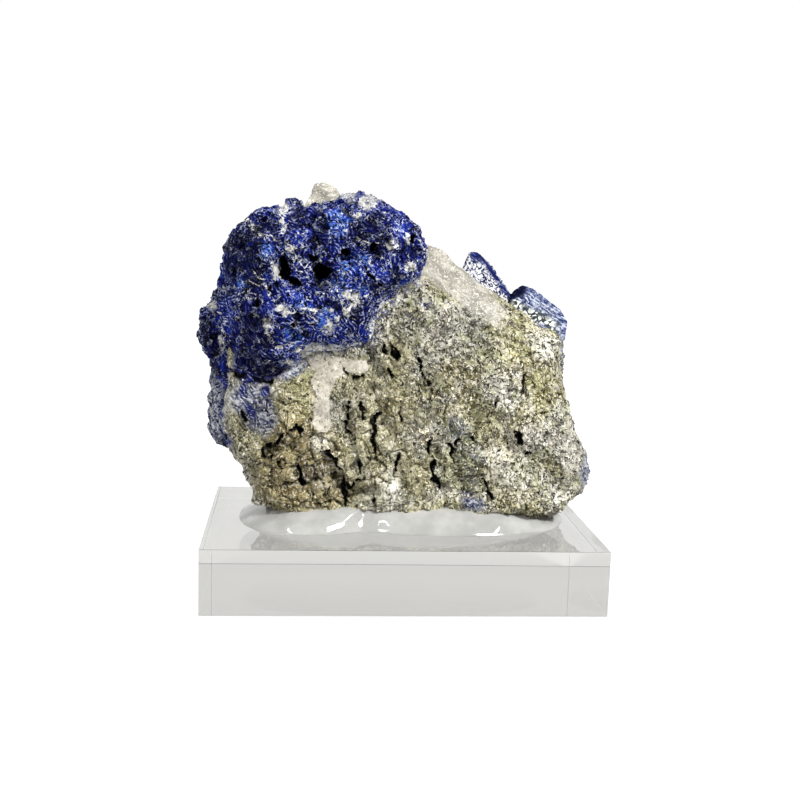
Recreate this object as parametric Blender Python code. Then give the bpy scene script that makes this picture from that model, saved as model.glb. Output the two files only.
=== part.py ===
"""A lazurite specimen: blue lazurite on a marble and diopside matrix, set in clear adhesive on an acrylic block.

Metres, +Z up. The origin is the centre of the block's underside; -Y is the side that faces the viewer.
The two minerals are blocked out as lofted lumps, fused, roughened, and fitted to each other and to the adhesive.
"""

import bmesh
import bpy
import math
from mathutils import Vector, noise
from mathutils.bvhtree import BVHTree

MM = 0.001

# The acrylic block.
BLOCK_WIDTH = 100 * MM
BLOCK_DEPTH = 66 * MM
BLOCK_HEIGHT = 16.5 * MM
BLOCK_EDGE = 0.4 * MM

# Clearances: meshes that touch keep this much air between them.
CONTACT_GAP = 0.3 * MM
SOCKET_GAP = 0.4 * MM

# The stone rests this far above the block, in the adhesive.
STONE_FOOT = 18.6 * MM

# How finely the fused lumps are sampled, and how many triangles each mineral keeps.
SAMPLE = 0.8 * MM
LAZURITE_TRIANGLES = 3850
MATRIX_TRIANGLES = 3000

# Skin this far inside the other mineral stays smooth and gets few triangles.
BURIED_DEPTH = 1.5 * MM
OPEN_WEIGHT = 0.3

# Pits and clefts are only cut into skin in front of this.
FRONT_CUTS_END = 4 * MM

# Outlines seen from the front, (x, z) in millimetres, clockwise from the top left.
DOME_OUTLINE = [
    (-47.4, 81.8), (-47.4, 87.0), (-43.8, 91.4), (-40.2, 96.2), (-35.4, 98.8), (-30.0, 98.2), (-24.0, 99.2),
    (-16.6, 100.0), (-11.9, 101.6), (-7.2, 100.0), (0.0, 98.0), (4.0, 93.8), (5.6, 87.8), (5.0, 83.0),
    (0.4, 79.6), (-3.9, 74.3), (-6.0, 68.4), (-9.8, 62.7), (-16.0, 61.0), (-23.5, 59.2), (-29.3, 55.1),
    (-35.4, 51.9), (-40.5, 52.8), (-44.4, 57.8), (-46.4, 65.0), (-46.4, 73.7),
]
FLANK_OUTLINE = [
    (-39.0, 89.0), (-44.5, 85.5), (-47.0, 79.5), (-49.5, 73.8), (-52.6, 69.8), (-53.7, 64.8), (-52.9, 61.0), (-50.8, 57.6), (-50.2, 53.0),
    (-51.0, 47.6), (-50.2, 44.2), (-50.6, 41.0), (-49.2, 37.2), (-46.0, 34.8), (-41.5, 37.0), (-40.5, 46.0),
    (-42.0, 56.0), (-40.0, 68.0), (-37.0, 80.0),
]
CRUST_OUTLINE = [
    (-46.5, 82.0), (-42.5, 89.5), (-35.0, 94.0), (-24.0, 94.6), (-12.0, 95.0), (-3.5, 91.0), (4.0, 85.6),
    (13.0, 81.0), (22.0, 77.0), (31.5, 73.6), (39.5, 68.4), (44.6, 63.4), (45.2, 57.0), (44.6, 51.0),
    (45.6, 44.0), (48.4, 37.0), (51.6, 31.5), (51.0, 27.5), (46.0, 27.5), (38.0, 33.5), (29.0, 40.5),
    (20.0, 37.0), (9.0, 31.0), (-2.0, 36.5), (-14.0, 43.5), (-25.0, 39.0), (-34.0, 32.5), (-44.0, 35.5),
    (-49.0, 47.0), (-49.5, 61.0), (-48.8, 73.0),
]
MATRIX_OUTLINE = [
    (-44.5, 79.0), (-41.5, 87.5), (-35.0, 93.5), (-26.0, 96.0), (-14.0, 95.6), (-4.0, 92.4), (5.4, 90.6),
    (11.6, 87.2), (18.2, 82.4), (26.4, 76.4), (33.8, 71.4), (40.6, 66.8), (43.0, 62.4), (43.0, 56.0),
    (44.2, 50.4), (46.4, 43.0), (48.0, 38.0), (50.2, 33.6), (50.6, 29.2), (47.2, 24.4), (43.0, 19.6),
    (40.0, 17.4), (30.0, 18.4), (12.0, 17.4), (-6.0, 17.8), (-24.0, 17.2), (-34.0, 18.6), (-37.2, 22.8),
    (-39.4, 28.2), (-43.2, 33.4), (-47.2, 37.8), (-48.0, 46.0), (-46.2, 57.0), (-45.5, 69.0),
]

# Sections of each loft from front to back: (y in millimetres, size against the outline).
DOME_SECTIONS = [(-20.5, 0.26), (-19.6, 0.45), (-17.6, 0.63), (-14.6, 0.79), (-10.5, 0.92), (-4.5, 1.0),
                 (1.5, 0.97), (5.5, 0.86)]
FLANK_SECTIONS = [(-6.0, 0.5), (-3.5, 0.82), (1.0, 0.97), (6.0, 1.0), (13.0, 0.95), (17.0, 0.7)]
CRUST_SECTIONS = [(10.5, 0.93), (13.0, 1.0), (16.5, 0.99), (19.5, 0.94), (21.6, 0.84), (22.8, 0.7)]
MATRIX_SECTIONS = [(-11.5, 0.84), (-10.6, 0.92), (-7.5, 0.975), (-1.0, 1.0), (8.0, 0.99), (15.0, 0.93), (20.0, 0.82)]

# The matrix leans back: this much y for each millimetre of height above its middle.
MATRIX_LEAN = 0.07
MIDDLE_HEIGHT = 58.0

# The crust swells forwards and back by up to this much over this length, millimetres.
CRUST_WAVE = 3.2
WAVE_LENGTH = 26.0

# Flat-faced pieces, as the corners of their hulls, (x, y, z) in millimetres.
TALL_SHARD = [
    (16.0, 10.0, 77.0), (17.0, 13.5, 83.2), (18.8, 14.0, 87.4), (21.0, 14.5, 87.2), (24.8, 14.0, 84.2),
    (29.8, 13.5, 77.6), (31.5, 13.0, 72.0), (18.0, 19.5, 82.8), (20.4, 19.0, 85.8), (29.6, 20.5, 74.6),
    (23.4, 21.0, 72.0), (27.0, 10.0, 71.0),
]
LOW_SHARD = [
    (30.0, 9.5, 71.0), (30.6, 12.0, 76.8), (33.2, 12.0, 78.8), (36.0, 12.0, 78.2), (44.0, 11.5, 72.6),
    (46.3, 11.0, 69.0), (45.4, 9.0, 64.0), (32.0, 20.5, 75.0), (37.0, 20.5, 75.6), (44.6, 20.0, 69.5),
    (44.0, 21.0, 60.0), (32.0, 21.5, 66.0), (38.6, 8.0, 64.5),
]
CREST_KNOB = [
    (-28.0, 2.0, 94.0), (-25.6, 3.0, 100.8), (-23.4, 4.5, 104.6), (-20.9, 4.5, 105.8), (-18.2, 4.5, 103.8),
    (-14.6, 4.0, 99.4), (-13.0, 3.0, 94.0), (-23.8, 9.0, 102.0), (-19.4, 10.0, 102.4), (-15.4, 10.0, 97.0),
    (-27.4, 10.0, 95.6), (-19.8, 0.5, 98.0),
]
CREST_CRYSTALS = [
    [(-32.4, 0.0, 95.4), (-31.2, 2.0, 99.6), (-28.8, 2.5, 100.6), (-26.8, 2.0, 99.4), (-26.6, 3.0, 96.0),
     (-29.4, 6.0, 98.4), (-31.0, -2.5, 96.8), (-28.0, -2.0, 97.2)],
    [(-18.0, 3.5, 97.0), (-17.2, 5.0, 101.2), (-15.8, 5.0, 101.6), (-14.0, 5.0, 100.0), (-13.4, 4.0, 96.0),
     (-15.4, 8.5, 98.8), (-15.0, 1.5, 99.0)],
    [(-12.8, -6.0, 97.0), (-12.0, -3.0, 101.6), (-9.4, -2.5, 102.0), (-6.8, -3.5, 100.0), (-6.0, -4.0, 96.0),
     (-8.4, 2.0, 99.6), (-9.2, -8.0, 97.8)],
]
LEFT_CLUSTER = [
    (-38.0, -9.0, 20.5), (-30.0, -12.5, 20.4), (-18.0, -13.0, 20.8), (-11.5, -11.5, 24.0), (-12.5, -14.0, 32.0),
    (-18.0, -15.2, 38.0), (-28.0, -14.5, 42.0), (-37.0, -11.5, 42.0), (-43.0, -5.0, 38.0), (-41.0, -6.0, 29.0),
    (-30.0, -15.0, 30.0), (-20.0, 0.0, 30.0), (-40.0, 4.0, 40.0),
]

# A smooth cleavage face slopes from the front up to the ridge, through these (x, y, z), millimetres.
# It fades out to the right between the two positions along X.
CLEAVAGE_FACE = [(8.0, 7.0, 87.5), (44.0, 9.0, 63.5), (18.0, -9.5, 68.5)]
CLEAVAGE_END = (18.0, 32.0)
CLEAVAGE_RELIEF = 0.4

# Pits in the lazurite, from the front: (x, z, half width, half height, depth, tilt in degrees), millimetres.
PITS = [
    (-31.2, 82.6, 1.7, 3.6, 5.0, 8),
    (-28.4, 78.3, 2.0, 1.7, 3.5, -30),
    (-21.6, 80.6, 3.1, 3.3, 7.5, 20),
    (-24.3, 84.0, 1.7, 1.6, 4.0, 40),
    (-16.0, 85.9, 2.3, 1.6, 4.0, 35),
    (-8.6, 86.9, 1.5, 2.3, 5.0, 5),
    (-9.4, 79.0, 2.6, 1.2, 3.0, -35),
    (1.2, 89.4, 1.2, 2.6, 3.5, 12),
    (-29.2, 66.9, 1.4, 1.4, 3.0, 0),
]

# Clefts in the matrix, from the front: end points (x, z), half width and depth, millimetres.
CLEFTS = [
    ((-20.0, 34.0), (-13.5, 24.8), 2.2, 5.0),
    ((-13.5, 24.8), (-8.0, 26.4), 1.8, 4.2),
    ((-14.0, 46.0), (-12.6, 33.0), 1.8, 4.0),
    ((-36.0, 36.0), (-27.0, 38.0), 1.8, 3.6),
    ((-8.5, 53.5), (-3.0, 40.0), 1.9, 3.6),
    ((8.0, 38.0), (11.0, 22.5), 2.0, 3.6),
    ((25.0, 46.0), (28.0, 36.0), 1.9, 3.4),
    ((-9.0, 63.0), (-6.0, 55.0), 2.0, 3.4),
]

# The adhesive: where its edge meets the block, (x, y) in millimetres, and its profile as
# (height above the block, size against that edge).
BED_OUTLINE = [
    (-42.0, 0.0), (-41.6, -5.0), (-39.8, -11.0), (-35.6, -15.9), (-28.5, -18.6), (-21.0, -18.3), (-14.2, -17.1),
    (-6.0, -15.6), (3.0, -14.6), (11.0, -14.9), (20.0, -15.8), (30.5, -15.2), (39.2, -12.0), (43.6, -5.0),
    (45.0, 4.0), (42.0, 13.0), (33.5, 20.0), (20.0, 24.0), (4.0, 25.4), (-12.0, 25.0), (-26.0, 22.6),
    (-36.6, 16.4), (-41.0, 8.4),
]
BED_PROFILE = [(0.3, 0.995), (0.8, 1.0), (1.7, 0.97), (3.0, 0.915), (4.6, 0.855), (5.6, 0.8)]

BED_POINTS = 38


def clear_scene():
    for obj in list(bpy.data.objects):
        bpy.data.objects.remove(obj)


def plain_material(name, colour, roughness, transmission=0.0, ior=1.5):
    material = bpy.data.materials.new(name)
    material.use_nodes = True
    shader = material.node_tree.nodes["Principled BSDF"]
    shader.inputs["Base Color"].default_value = (*colour, 1.0)
    shader.inputs["Roughness"].default_value = roughness
    shader.inputs["Metallic"].default_value = 0.0
    shader.inputs["Transmission Weight"].default_value = transmission
    shader.inputs["IOR"].default_value = ior
    return material


def object_of(name, mesh, material=None):
    obj = bpy.data.objects.new(name, mesh)
    bpy.context.scene.collection.objects.link(obj)
    if material:
        obj.data.materials.append(material)
    return obj


def mesh_of(name, bm):
    mesh = bpy.data.meshes.new(name)
    bmesh.ops.recalc_face_normals(bm, faces=bm.faces)
    bm.to_mesh(mesh)
    bm.free()
    return mesh


def smooth_loop(points, count):
    """count points, evenly spaced by length, on a closed Catmull-Rom curve through the given points."""
    dense = []
    steps = 12
    n = len(points)
    for i in range(n):
        a, b, c, d = (Vector(points[(i + k - 1) % n]) for k in range(4))
        for step in range(steps):
            t = step / steps
            dense.append(
                0.5 * (2 * b + (c - a) * t + (2 * a - 5 * b + 4 * c - d) * t**2 + (3 * b - a - 3 * c + d) * t**3)
            )
    lengths = [0.0]
    for i in range(len(dense)):
        lengths.append(lengths[-1] + (dense[(i + 1) % len(dense)] - dense[i]).length)
    loop, at = [], 0
    for k in range(count):
        wanted = lengths[-1] * k / count
        while lengths[at + 1] < wanted:
            at += 1
        share = (wanted - lengths[at]) / (lengths[at + 1] - lengths[at])
        loop.append(dense[at].lerp(dense[(at + 1) % len(dense)], share))
    return loop


def add_loft(bm, outline, rings, points=72):
    """A closed solid through rings. Each ring is (size, place), where place turns an outline point into a 3-D point."""
    loop = smooth_loop(outline, points)
    centre = sum(loop, Vector((0, 0))) / len(loop)
    made = []
    for size, place in rings:
        made.append([bm.verts.new(place(centre + (p - centre) * size)) for p in loop])
    for front, back in zip(made, made[1:]):
        for i in range(len(loop)):
            j = (i + 1) % len(loop)
            bm.faces.new((front[i], front[j], back[j], back[i]))
    for ring, (_, place) in ((made[0], rings[0]), (made[-1], rings[-1])):
        pole = bm.verts.new(place(centre))
        for i in range(len(loop)):
            bm.faces.new((ring[i], ring[(i + 1) % len(loop)], pole))


def add_front_loft(bm, outline, sections, lean=0.0, wave=0.0):
    """A loft whose outline is seen from the front and whose sections follow each other along Y."""

    def place(p, y):
        swell = wave * noise.noise(Vector((p.x, 0.0, p.y)) / WAVE_LENGTH)
        return Vector((p.x, y + lean * (p.y - MIDDLE_HEIGHT) + swell, p.y)) * MM

    add_loft(bm, outline, [(size, lambda p, y=y: place(p, y)) for y, size in sections])


def add_hull(bm, corners):
    points = [bm.verts.new(Vector(c) * MM) for c in corners]
    hull = bmesh.ops.convex_hull(bm, input=points)
    inside = [g for g in hull["geom_interior"] if isinstance(g, bmesh.types.BMVert)]
    bmesh.ops.delete(bm, geom=inside, context="VERTS")


def evaluated_mesh(obj):
    """The object's mesh with its modifiers applied, after which the object itself is removed."""
    graph = bpy.context.evaluated_depsgraph_get()
    mesh = bpy.data.meshes.new_from_object(obj.evaluated_get(graph))
    bpy.data.objects.remove(obj)
    return mesh


def fused(mesh, soft_passes):
    """One closed skin round everything in mesh, evenly sampled."""
    obj = object_of("lumps", mesh)
    remesh = obj.modifiers.new("fuse", "REMESH")
    remesh.mode = "VOXEL"
    remesh.voxel_size = SAMPLE
    if soft_passes:
        soften = obj.modifiers.new("soften", "SMOOTH")
        soften.iterations = soft_passes
    return evaluated_mesh(obj)


def cells(point, scale, seed):
    """Distance to the nearest and to the second nearest cell centre, in cell sizes."""
    near, _ = noise.voronoi(point / (scale * MM) + Vector((seed, -seed, 2 * seed)))
    return near[0], near[1]


def waves(point, scale, seed):
    """Soft noise from about -1 to 1 that changes over scale millimetres."""
    return noise.fractal(point / (scale * MM) + Vector((seed, seed, -seed)), 0.9, 2.0, 3)


def lazurite_relief(point):
    """Height in millimetres of the lazurite's rounded knobs and the grooves between them."""
    big, _ = cells(point, 13.0, 3.1)
    small, second = cells(point, 5.2, 7.7)
    groove = max(0.0, 1.0 - (second - small) / 0.22)
    return 2.2 * (0.55 - big) + 1.6 * (0.45 - small) - 0.9 * groove + 1.1 * waves(point, 18.0, 1.3)


def matrix_relief(point):
    """Height in millimetres of the matrix's coarse grains, streaks and steps."""
    tall = Vector((point.x, point.y, point.z * 0.6))
    coarse, second = cells(tall, 7.5, 11.9)
    fine, _ = cells(tall, 3.6, 5.3)
    groove = max(0.0, 1.0 - (second - coarse) / 0.2)
    return 1.9 * (0.45 - coarse) + 1.1 * (0.45 - fine) - 0.8 * groove + 1.3 * waves(point, 16.0, 4.9)


def pit_depth(point):
    """How deep the pits cut at this point, in millimetres."""
    deepest = 0.0
    for x, z, half_width, half_height, depth, tilt in PITS:
        angle = math.radians(tilt)
        across, up = point.x / MM - x, point.z / MM - z
        u = (across * math.cos(angle) + up * math.sin(angle)) / half_width
        v = (up * math.cos(angle) - across * math.sin(angle)) / half_height
        deepest = max(deepest, depth * (1.0 - min(1.0, (u * u + v * v) ** 1.5 / 1.6)))
    return deepest


def cleft_depth(point):
    """How deep the clefts cut at this point, in millimetres."""
    deepest = 0.0
    here = Vector((point.x / MM, point.z / MM))
    for start, end, half_width, depth in CLEFTS:
        along = Vector(end) - Vector(start)
        share = max(0.0, min(1.0, (here - Vector(start)).dot(along) / along.length_squared))
        wander = 1.1 * noise.noise(Vector((here.x * 0.35, 0.0, here.y * 0.35)))
        away = (here - Vector(start) - along * share).length + wander
        deepest = max(deepest, depth * (1.0 - min(1.0, abs(away) / half_width)))
    return deepest


def cleave(mesh):
    """Brings everything in front of the cleavage face back onto it. Gives the roughness each point may have."""
    a, b, c = (Vector(corner) * MM for corner in CLEAVAGE_FACE)
    normal = (c - a).cross(b - a).normalized()
    roughness = []
    fade_start, fade_end = CLEAVAGE_END
    for vertex in mesh.vertices:
        beyond = (vertex.co - a).dot(normal)
        share = max(0.0, min(1.0, (fade_end - vertex.co.x / MM) / (fade_end - fade_start)))
        if beyond > 0:
            vertex.co -= normal * beyond * share
        roughness.append(1.0 - (1.0 - CLEAVAGE_RELIEF) * share if beyond > 0 else 1.0)
    return roughness


def buried_shares(mesh, other):
    """For each point of mesh, 0 where it is outside other, rising to 1 where it is BURIED_DEPTH inside."""
    tree = BVHTree.FromPolygons([v.co for v in other.vertices], [p.vertices for p in other.polygons])
    shares = []
    for vertex in mesh.vertices:
        place, normal, _, _ = tree.find_nearest(vertex.co)
        inside = (place - vertex.co).dot(normal)
        shares.append(max(0.0, min(1.0, inside / BURIED_DEPTH)))
    return shares


def roughen(mesh, relief, front_cut, open_shares):
    """The mesh with each point moved out along its normal by relief, and back by front_cut if it looks forward."""
    moved = []
    for vertex, share in zip(mesh.vertices, open_shares):
        forward = min(1.0, 1.6 * max(0.0, -vertex.normal.y)) * (vertex.co.y < FRONT_CUTS_END)
        place = vertex.co + vertex.normal * relief(vertex.co) * MM * share
        place.y += front_cut(vertex.co) * MM * forward * share
        moved.append(place)
    for vertex, place in zip(mesh.vertices, moved):
        vertex.co = place
    return fused(mesh, 0)


def flatten_foot(mesh):
    """Nothing of the stone goes below its foot."""
    for vertex in mesh.vertices:
        vertex.co.z = max(vertex.co.z, STONE_FOOT)


def reduced(name, mesh, triangles, buried):
    """The same skin with about this many triangles, most of them where the skin isn't buried."""
    obj = object_of(name, mesh)
    group = obj.vertex_groups.new(name="buried")
    for index, share in enumerate(buried):
        group.add([index], max(share, OPEN_WEIGHT), "REPLACE")
    split = obj.modifiers.new("split", "TRIANGULATE")
    split.min_vertices = 4
    fewer = obj.modifiers.new("facets", "DECIMATE")
    fewer.ratio = triangles / (2 * len(mesh.polygons))
    fewer.vertex_group = group.name
    return evaluated_mesh(obj)


def swollen(name, mesh, distance):
    """A hidden cutter: the mesh with every face moved outwards by distance."""
    bm = bmesh.new()
    bm.from_mesh(mesh)
    steps = [vertex.normal * distance * min(2.5, vertex.calc_shell_factor()) for vertex in bm.verts]
    for vertex, step in zip(bm.verts, steps):
        vertex.co += step
    cutter = object_of(name, mesh_of(name, bm))
    cutter.hide_render = True
    cutter.display_type = "WIRE"
    return cutter


def cut(obj, cutter):
    boolean = obj.modifiers.new("socket for " + cutter.name, "BOOLEAN")
    boolean.operation = "DIFFERENCE"
    boolean.solver = "EXACT"
    boolean.use_self = True
    boolean.object = cutter


def grow_crystals(obj, crystals):
    """Joins flat-faced crystals to obj, and gives the mesh of them all as one solid."""
    grown = []
    for corners in crystals:
        bm = bmesh.new()
        add_hull(bm, corners)
        crystal = object_of("crystal", mesh_of("crystal", bm))
        union = obj.modifiers.new("grown crystal", "BOOLEAN")
        union.operation = "UNION"
        union.solver = "EXACT"
        union.object = crystal
        grown.append(crystal)
    mesh = evaluated_mesh(obj)
    for crystal in grown:
        bpy.data.objects.remove(crystal)
    return mesh


def keep_largest(mesh):
    """Removes loose chips that a cut left beside the main body."""
    bm = bmesh.new()
    bm.from_mesh(mesh)
    islands, seen = [], set()
    for start in bm.verts:
        if start in seen:
            continue
        island, waiting = [], [start]
        seen.add(start)
        while waiting:
            vertex = waiting.pop()
            island.append(vertex)
            for edge in vertex.link_edges:
                other = edge.other_vert(vertex)
                if other not in seen:
                    seen.add(other)
                    waiting.append(other)
        islands.append(island)
    largest = max(islands, key=len)
    chips = [vertex for island in islands if island is not largest for vertex in island]
    bmesh.ops.delete(bm, geom=chips, context="VERTS")
    bm.to_mesh(mesh)
    bm.free()


def lazurite_lumps():
    bm = bmesh.new()
    add_front_loft(bm, DOME_OUTLINE, DOME_SECTIONS)
    add_front_loft(bm, FLANK_OUTLINE, FLANK_SECTIONS)
    add_front_loft(bm, CRUST_OUTLINE, CRUST_SECTIONS, wave=CRUST_WAVE)
    return fused(mesh_of("lazurite_lumps", bm), 2)


def matrix_lumps():
    bm = bmesh.new()
    add_front_loft(bm, MATRIX_OUTLINE, MATRIX_SECTIONS, MATRIX_LEAN)
    add_hull(bm, CREST_KNOB)
    add_hull(bm, LEFT_CLUSTER)
    return fused(mesh_of("matrix_lumps", bm), 2)


def build_stone():
    """The lazurite, and the matrix with the socket that the lazurite fills."""
    blue = plain_material("lazurite", (0.03, 0.05, 0.30), 0.45)
    olive = plain_material("matrix", (0.42, 0.40, 0.29), 0.6)
    inner, outer = lazurite_lumps(), matrix_lumps()
    roughness = cleave(outer)
    inner_open = [1 - share for share in buried_shares(inner, outer)]
    outer_open = [(1 - share) * rough for share, rough in zip(buried_shares(outer, inner), roughness)]
    inner = roughen(inner, lazurite_relief, pit_depth, inner_open)
    outer = roughen(outer, matrix_relief, cleft_depth, outer_open)
    flatten_foot(outer)
    inner_buried, outer_buried = buried_shares(inner, outer), buried_shares(outer, inner)
    lumps = object_of("lumps", reduced("inner", inner, LAZURITE_TRIANGLES, inner_buried))
    lazurite = object_of("lazurite", grow_crystals(lumps, [TALL_SHARD, LOW_SHARD, *CREST_CRYSTALS]), blue)
    whole = object_of("whole_matrix", reduced("outer", outer, MATRIX_TRIANGLES, outer_buried))
    cut(whole, swollen("lazurite_room", lazurite.data, SOCKET_GAP))
    body = evaluated_mesh(whole)
    keep_largest(body)
    body.materials.clear()
    return lazurite, object_of("matrix_rock", body, olive)


def build_block():
    clear = plain_material("clear_acrylic", (0.96, 0.97, 0.97), 0.02, 1.0, 1.49)
    bm = bmesh.new()
    bmesh.ops.create_cube(bm, size=1.0)
    bmesh.ops.scale(bm, vec=(BLOCK_WIDTH, BLOCK_DEPTH, BLOCK_HEIGHT), verts=bm.verts)
    bmesh.ops.translate(bm, vec=(0, 0, BLOCK_HEIGHT / 2), verts=bm.verts)
    block = object_of("acrylic_block", mesh_of("acrylic_block", bm), clear)
    edge = block.modifiers.new("polished edge", "BEVEL")
    edge.width = BLOCK_EDGE
    edge.segments = 1
    return block


def build_bed(stone):
    """The adhesive: a low puddle that climbs the foot of the stone and keeps the stone's imprint."""
    glue = plain_material("clear_adhesive", (0.93, 0.93, 0.9), 0.08, 0.85, 1.48)
    bm = bmesh.new()
    rings = []
    for height, size in BED_PROFILE:
        z = BLOCK_HEIGHT / MM + height
        rings.append((size, lambda p, z=z: Vector((p.x, p.y, z)) * MM))
    add_loft(bm, BED_OUTLINE, rings, BED_POINTS)
    whole = object_of("whole_bed", mesh_of("whole_bed", bm))
    cut(whole, swollen("stone_room", stone.data, CONTACT_GAP))
    body = evaluated_mesh(whole)
    keep_largest(body)
    return object_of("adhesive_bed", body, glue)


clear_scene()
lazurite, matrix = build_stone()
build_block()
build_bed(matrix)
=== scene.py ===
"""The looks of the lazurite specimen: the stone's fine surface, clear glue and acrylic, soft studio light."""

import math

import bmesh
import bpy
import numpy as np
from mathutils import Matrix, Vector
from mathutils.bvhtree import BVHTree


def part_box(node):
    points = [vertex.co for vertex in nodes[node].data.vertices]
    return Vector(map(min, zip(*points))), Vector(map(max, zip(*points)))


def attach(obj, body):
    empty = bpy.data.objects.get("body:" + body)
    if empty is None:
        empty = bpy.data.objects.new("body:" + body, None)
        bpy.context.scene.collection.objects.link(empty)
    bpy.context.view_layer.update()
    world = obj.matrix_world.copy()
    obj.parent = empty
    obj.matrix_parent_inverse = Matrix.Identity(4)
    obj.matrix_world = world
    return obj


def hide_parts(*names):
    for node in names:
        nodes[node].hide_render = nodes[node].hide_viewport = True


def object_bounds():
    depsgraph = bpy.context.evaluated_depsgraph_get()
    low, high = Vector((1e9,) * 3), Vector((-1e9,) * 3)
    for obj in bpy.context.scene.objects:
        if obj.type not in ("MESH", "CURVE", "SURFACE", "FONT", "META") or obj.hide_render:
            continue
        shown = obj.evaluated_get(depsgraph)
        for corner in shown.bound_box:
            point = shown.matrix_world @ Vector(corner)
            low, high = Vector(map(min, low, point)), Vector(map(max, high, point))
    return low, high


MM = 0.001
# How finely the stone's skins are sampled.
SKIN_PITCH = 0.36 * MM

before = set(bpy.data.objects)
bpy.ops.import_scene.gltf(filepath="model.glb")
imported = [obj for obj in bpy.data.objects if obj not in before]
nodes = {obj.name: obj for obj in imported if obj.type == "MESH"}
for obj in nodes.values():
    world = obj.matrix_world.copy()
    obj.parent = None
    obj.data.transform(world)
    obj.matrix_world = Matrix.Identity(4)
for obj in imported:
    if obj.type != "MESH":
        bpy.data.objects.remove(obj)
cad_low, cad_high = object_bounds()


# ---- noise on arrays of points, in millimetres


def randoms(cells, seed):
    """Three random numbers from 0 to 1 for each row of whole-number cell coordinates."""
    c = cells.astype(np.int64).astype(np.uint64)
    n = c[:, 0] * np.uint64(73856093) ^ c[:, 1] * np.uint64(19349663) ^ c[:, 2] * np.uint64(83492791)
    n = (n + np.uint64(seed * 7919)) & np.uint64(0xFFFFFFFF)
    drawn = []
    for _ in range(3):
        n = ((n ^ (n >> np.uint64(15))) * np.uint64(2246822519)) & np.uint64(0xFFFFFFFF)
        n = ((n ^ (n >> np.uint64(13))) * np.uint64(3266489917)) & np.uint64(0xFFFFFFFF)
        n = n ^ (n >> np.uint64(16))
        drawn.append(n / 2.0**32)
    return np.stack(drawn, 1)


def corners(low, high):
    return [np.array((i, j, k)) for i in range(low, high) for j in range(low, high) for k in range(low, high)]


def waves(points, size, seed, octaves=1):
    """Smooth noise from about -1 to 1, with this wavelength and finer octaves of half the height."""
    total, height, reach = 0.0, 1.0, 0.0
    for octave in range(octaves):
        p = points / size + 17.3 * octave
        base = np.floor(p)
        f = p - base
        f = f * f * (3 - 2 * f)
        value = 0.0
        for corner in corners(0, 2):
            weight = np.prod(np.where(corner, f, 1 - f), axis=1)
            value = value + weight * randoms(base + corner, seed + octave)[:, 0]
        total, reach = total + height * (2 * value - 1), reach + height
        size, height = size / 2, height / 2
    return total / reach


def grains(points, size, seed, stretch=(1, 1, 1)):
    """Each point's grain: distance to its centre and to the next grain's, offset, three random numbers."""
    p = points / (size * np.array(stretch))
    base = np.floor(p)
    near, second = np.full(len(p), 9.0), np.full(len(p), 9.0)
    offset, drawn = np.zeros_like(p), np.zeros_like(p)
    for corner in corners(-1, 2):
        cell = base + corner
        away = p - cell - randoms(cell, seed)
        distance = np.sqrt((away * away).sum(1))
        closer = distance < near
        second = np.where(closer, near, np.minimum(second, distance))
        near = np.where(closer, distance, near)
        offset[closer] = away[closer]
        drawn[closer] = randoms(cell[closer], seed + 50)
    return near, second, offset, drawn


def ramp(x, low, high):
    t = np.clip((x - low) / (high - low), 0, 1)
    return t * t * (3 - 2 * t)


def spots(points, places, soft=0.5):
    """How far each point is inside any spot, seen from the front.

    A spot is x, z, half width, half height and, where it leans, a tilt in degrees.
    """
    share = np.zeros(len(points))
    for x, z, wide, high, *tilt in places:
        a = math.radians(*tilt or [0])
        dx, dz = points[:, 0] - x, points[:, 2] - z
        u = (dx * math.cos(a) + dz * math.sin(a)) / wide
        v = (dz * math.cos(a) - dx * math.sin(a)) / high
        share = np.maximum(share, 1 - ramp(np.sqrt(u * u + v * v), 1 - soft, 1 + soft))
    return share


def path_distance(points, path):
    """Distance to a line through (x, z) points, seen from the front."""
    flat = points[:, [0, 2]]
    best = np.full(len(points), 1e3)
    for start, end in zip(path, path[1:]):
        a, along = np.array(start), np.array(end) - np.array(start)
        t = np.clip((flat - a) @ along / (along @ along), 0, 1)
        best = np.minimum(best, np.linalg.norm(flat - a - t[:, None] * along, axis=1))
    return best


def inside(points, outline):
    """True for points inside a closed (x, z) outline, seen from the front."""
    x, z = points[:, 0], points[:, 2]
    within = np.zeros(len(points), bool)
    for (x1, z1), (x2, z2) in zip(outline, outline[1:] + outline[:1]):
        if z1 != z2:
            within ^= ((z1 > z) != (z2 > z)) & (x < x1 + (z - z1) * (x2 - x1) / (z2 - z1))
    return within


# ---- meshes


def link(obj):
    bpy.context.scene.collection.objects.link(obj)
    return obj


def modified(obj):
    """A mesh with the object's modifiers applied."""
    return bpy.data.meshes.new_from_object(obj.evaluated_get(bpy.context.evaluated_depsgraph_get()))


def built(bm, name, mesh_name):
    mesh = bpy.data.meshes.new(mesh_name)
    bm.to_mesh(mesh)
    bm.free()
    return link(bpy.data.objects.new(name, mesh))


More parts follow.
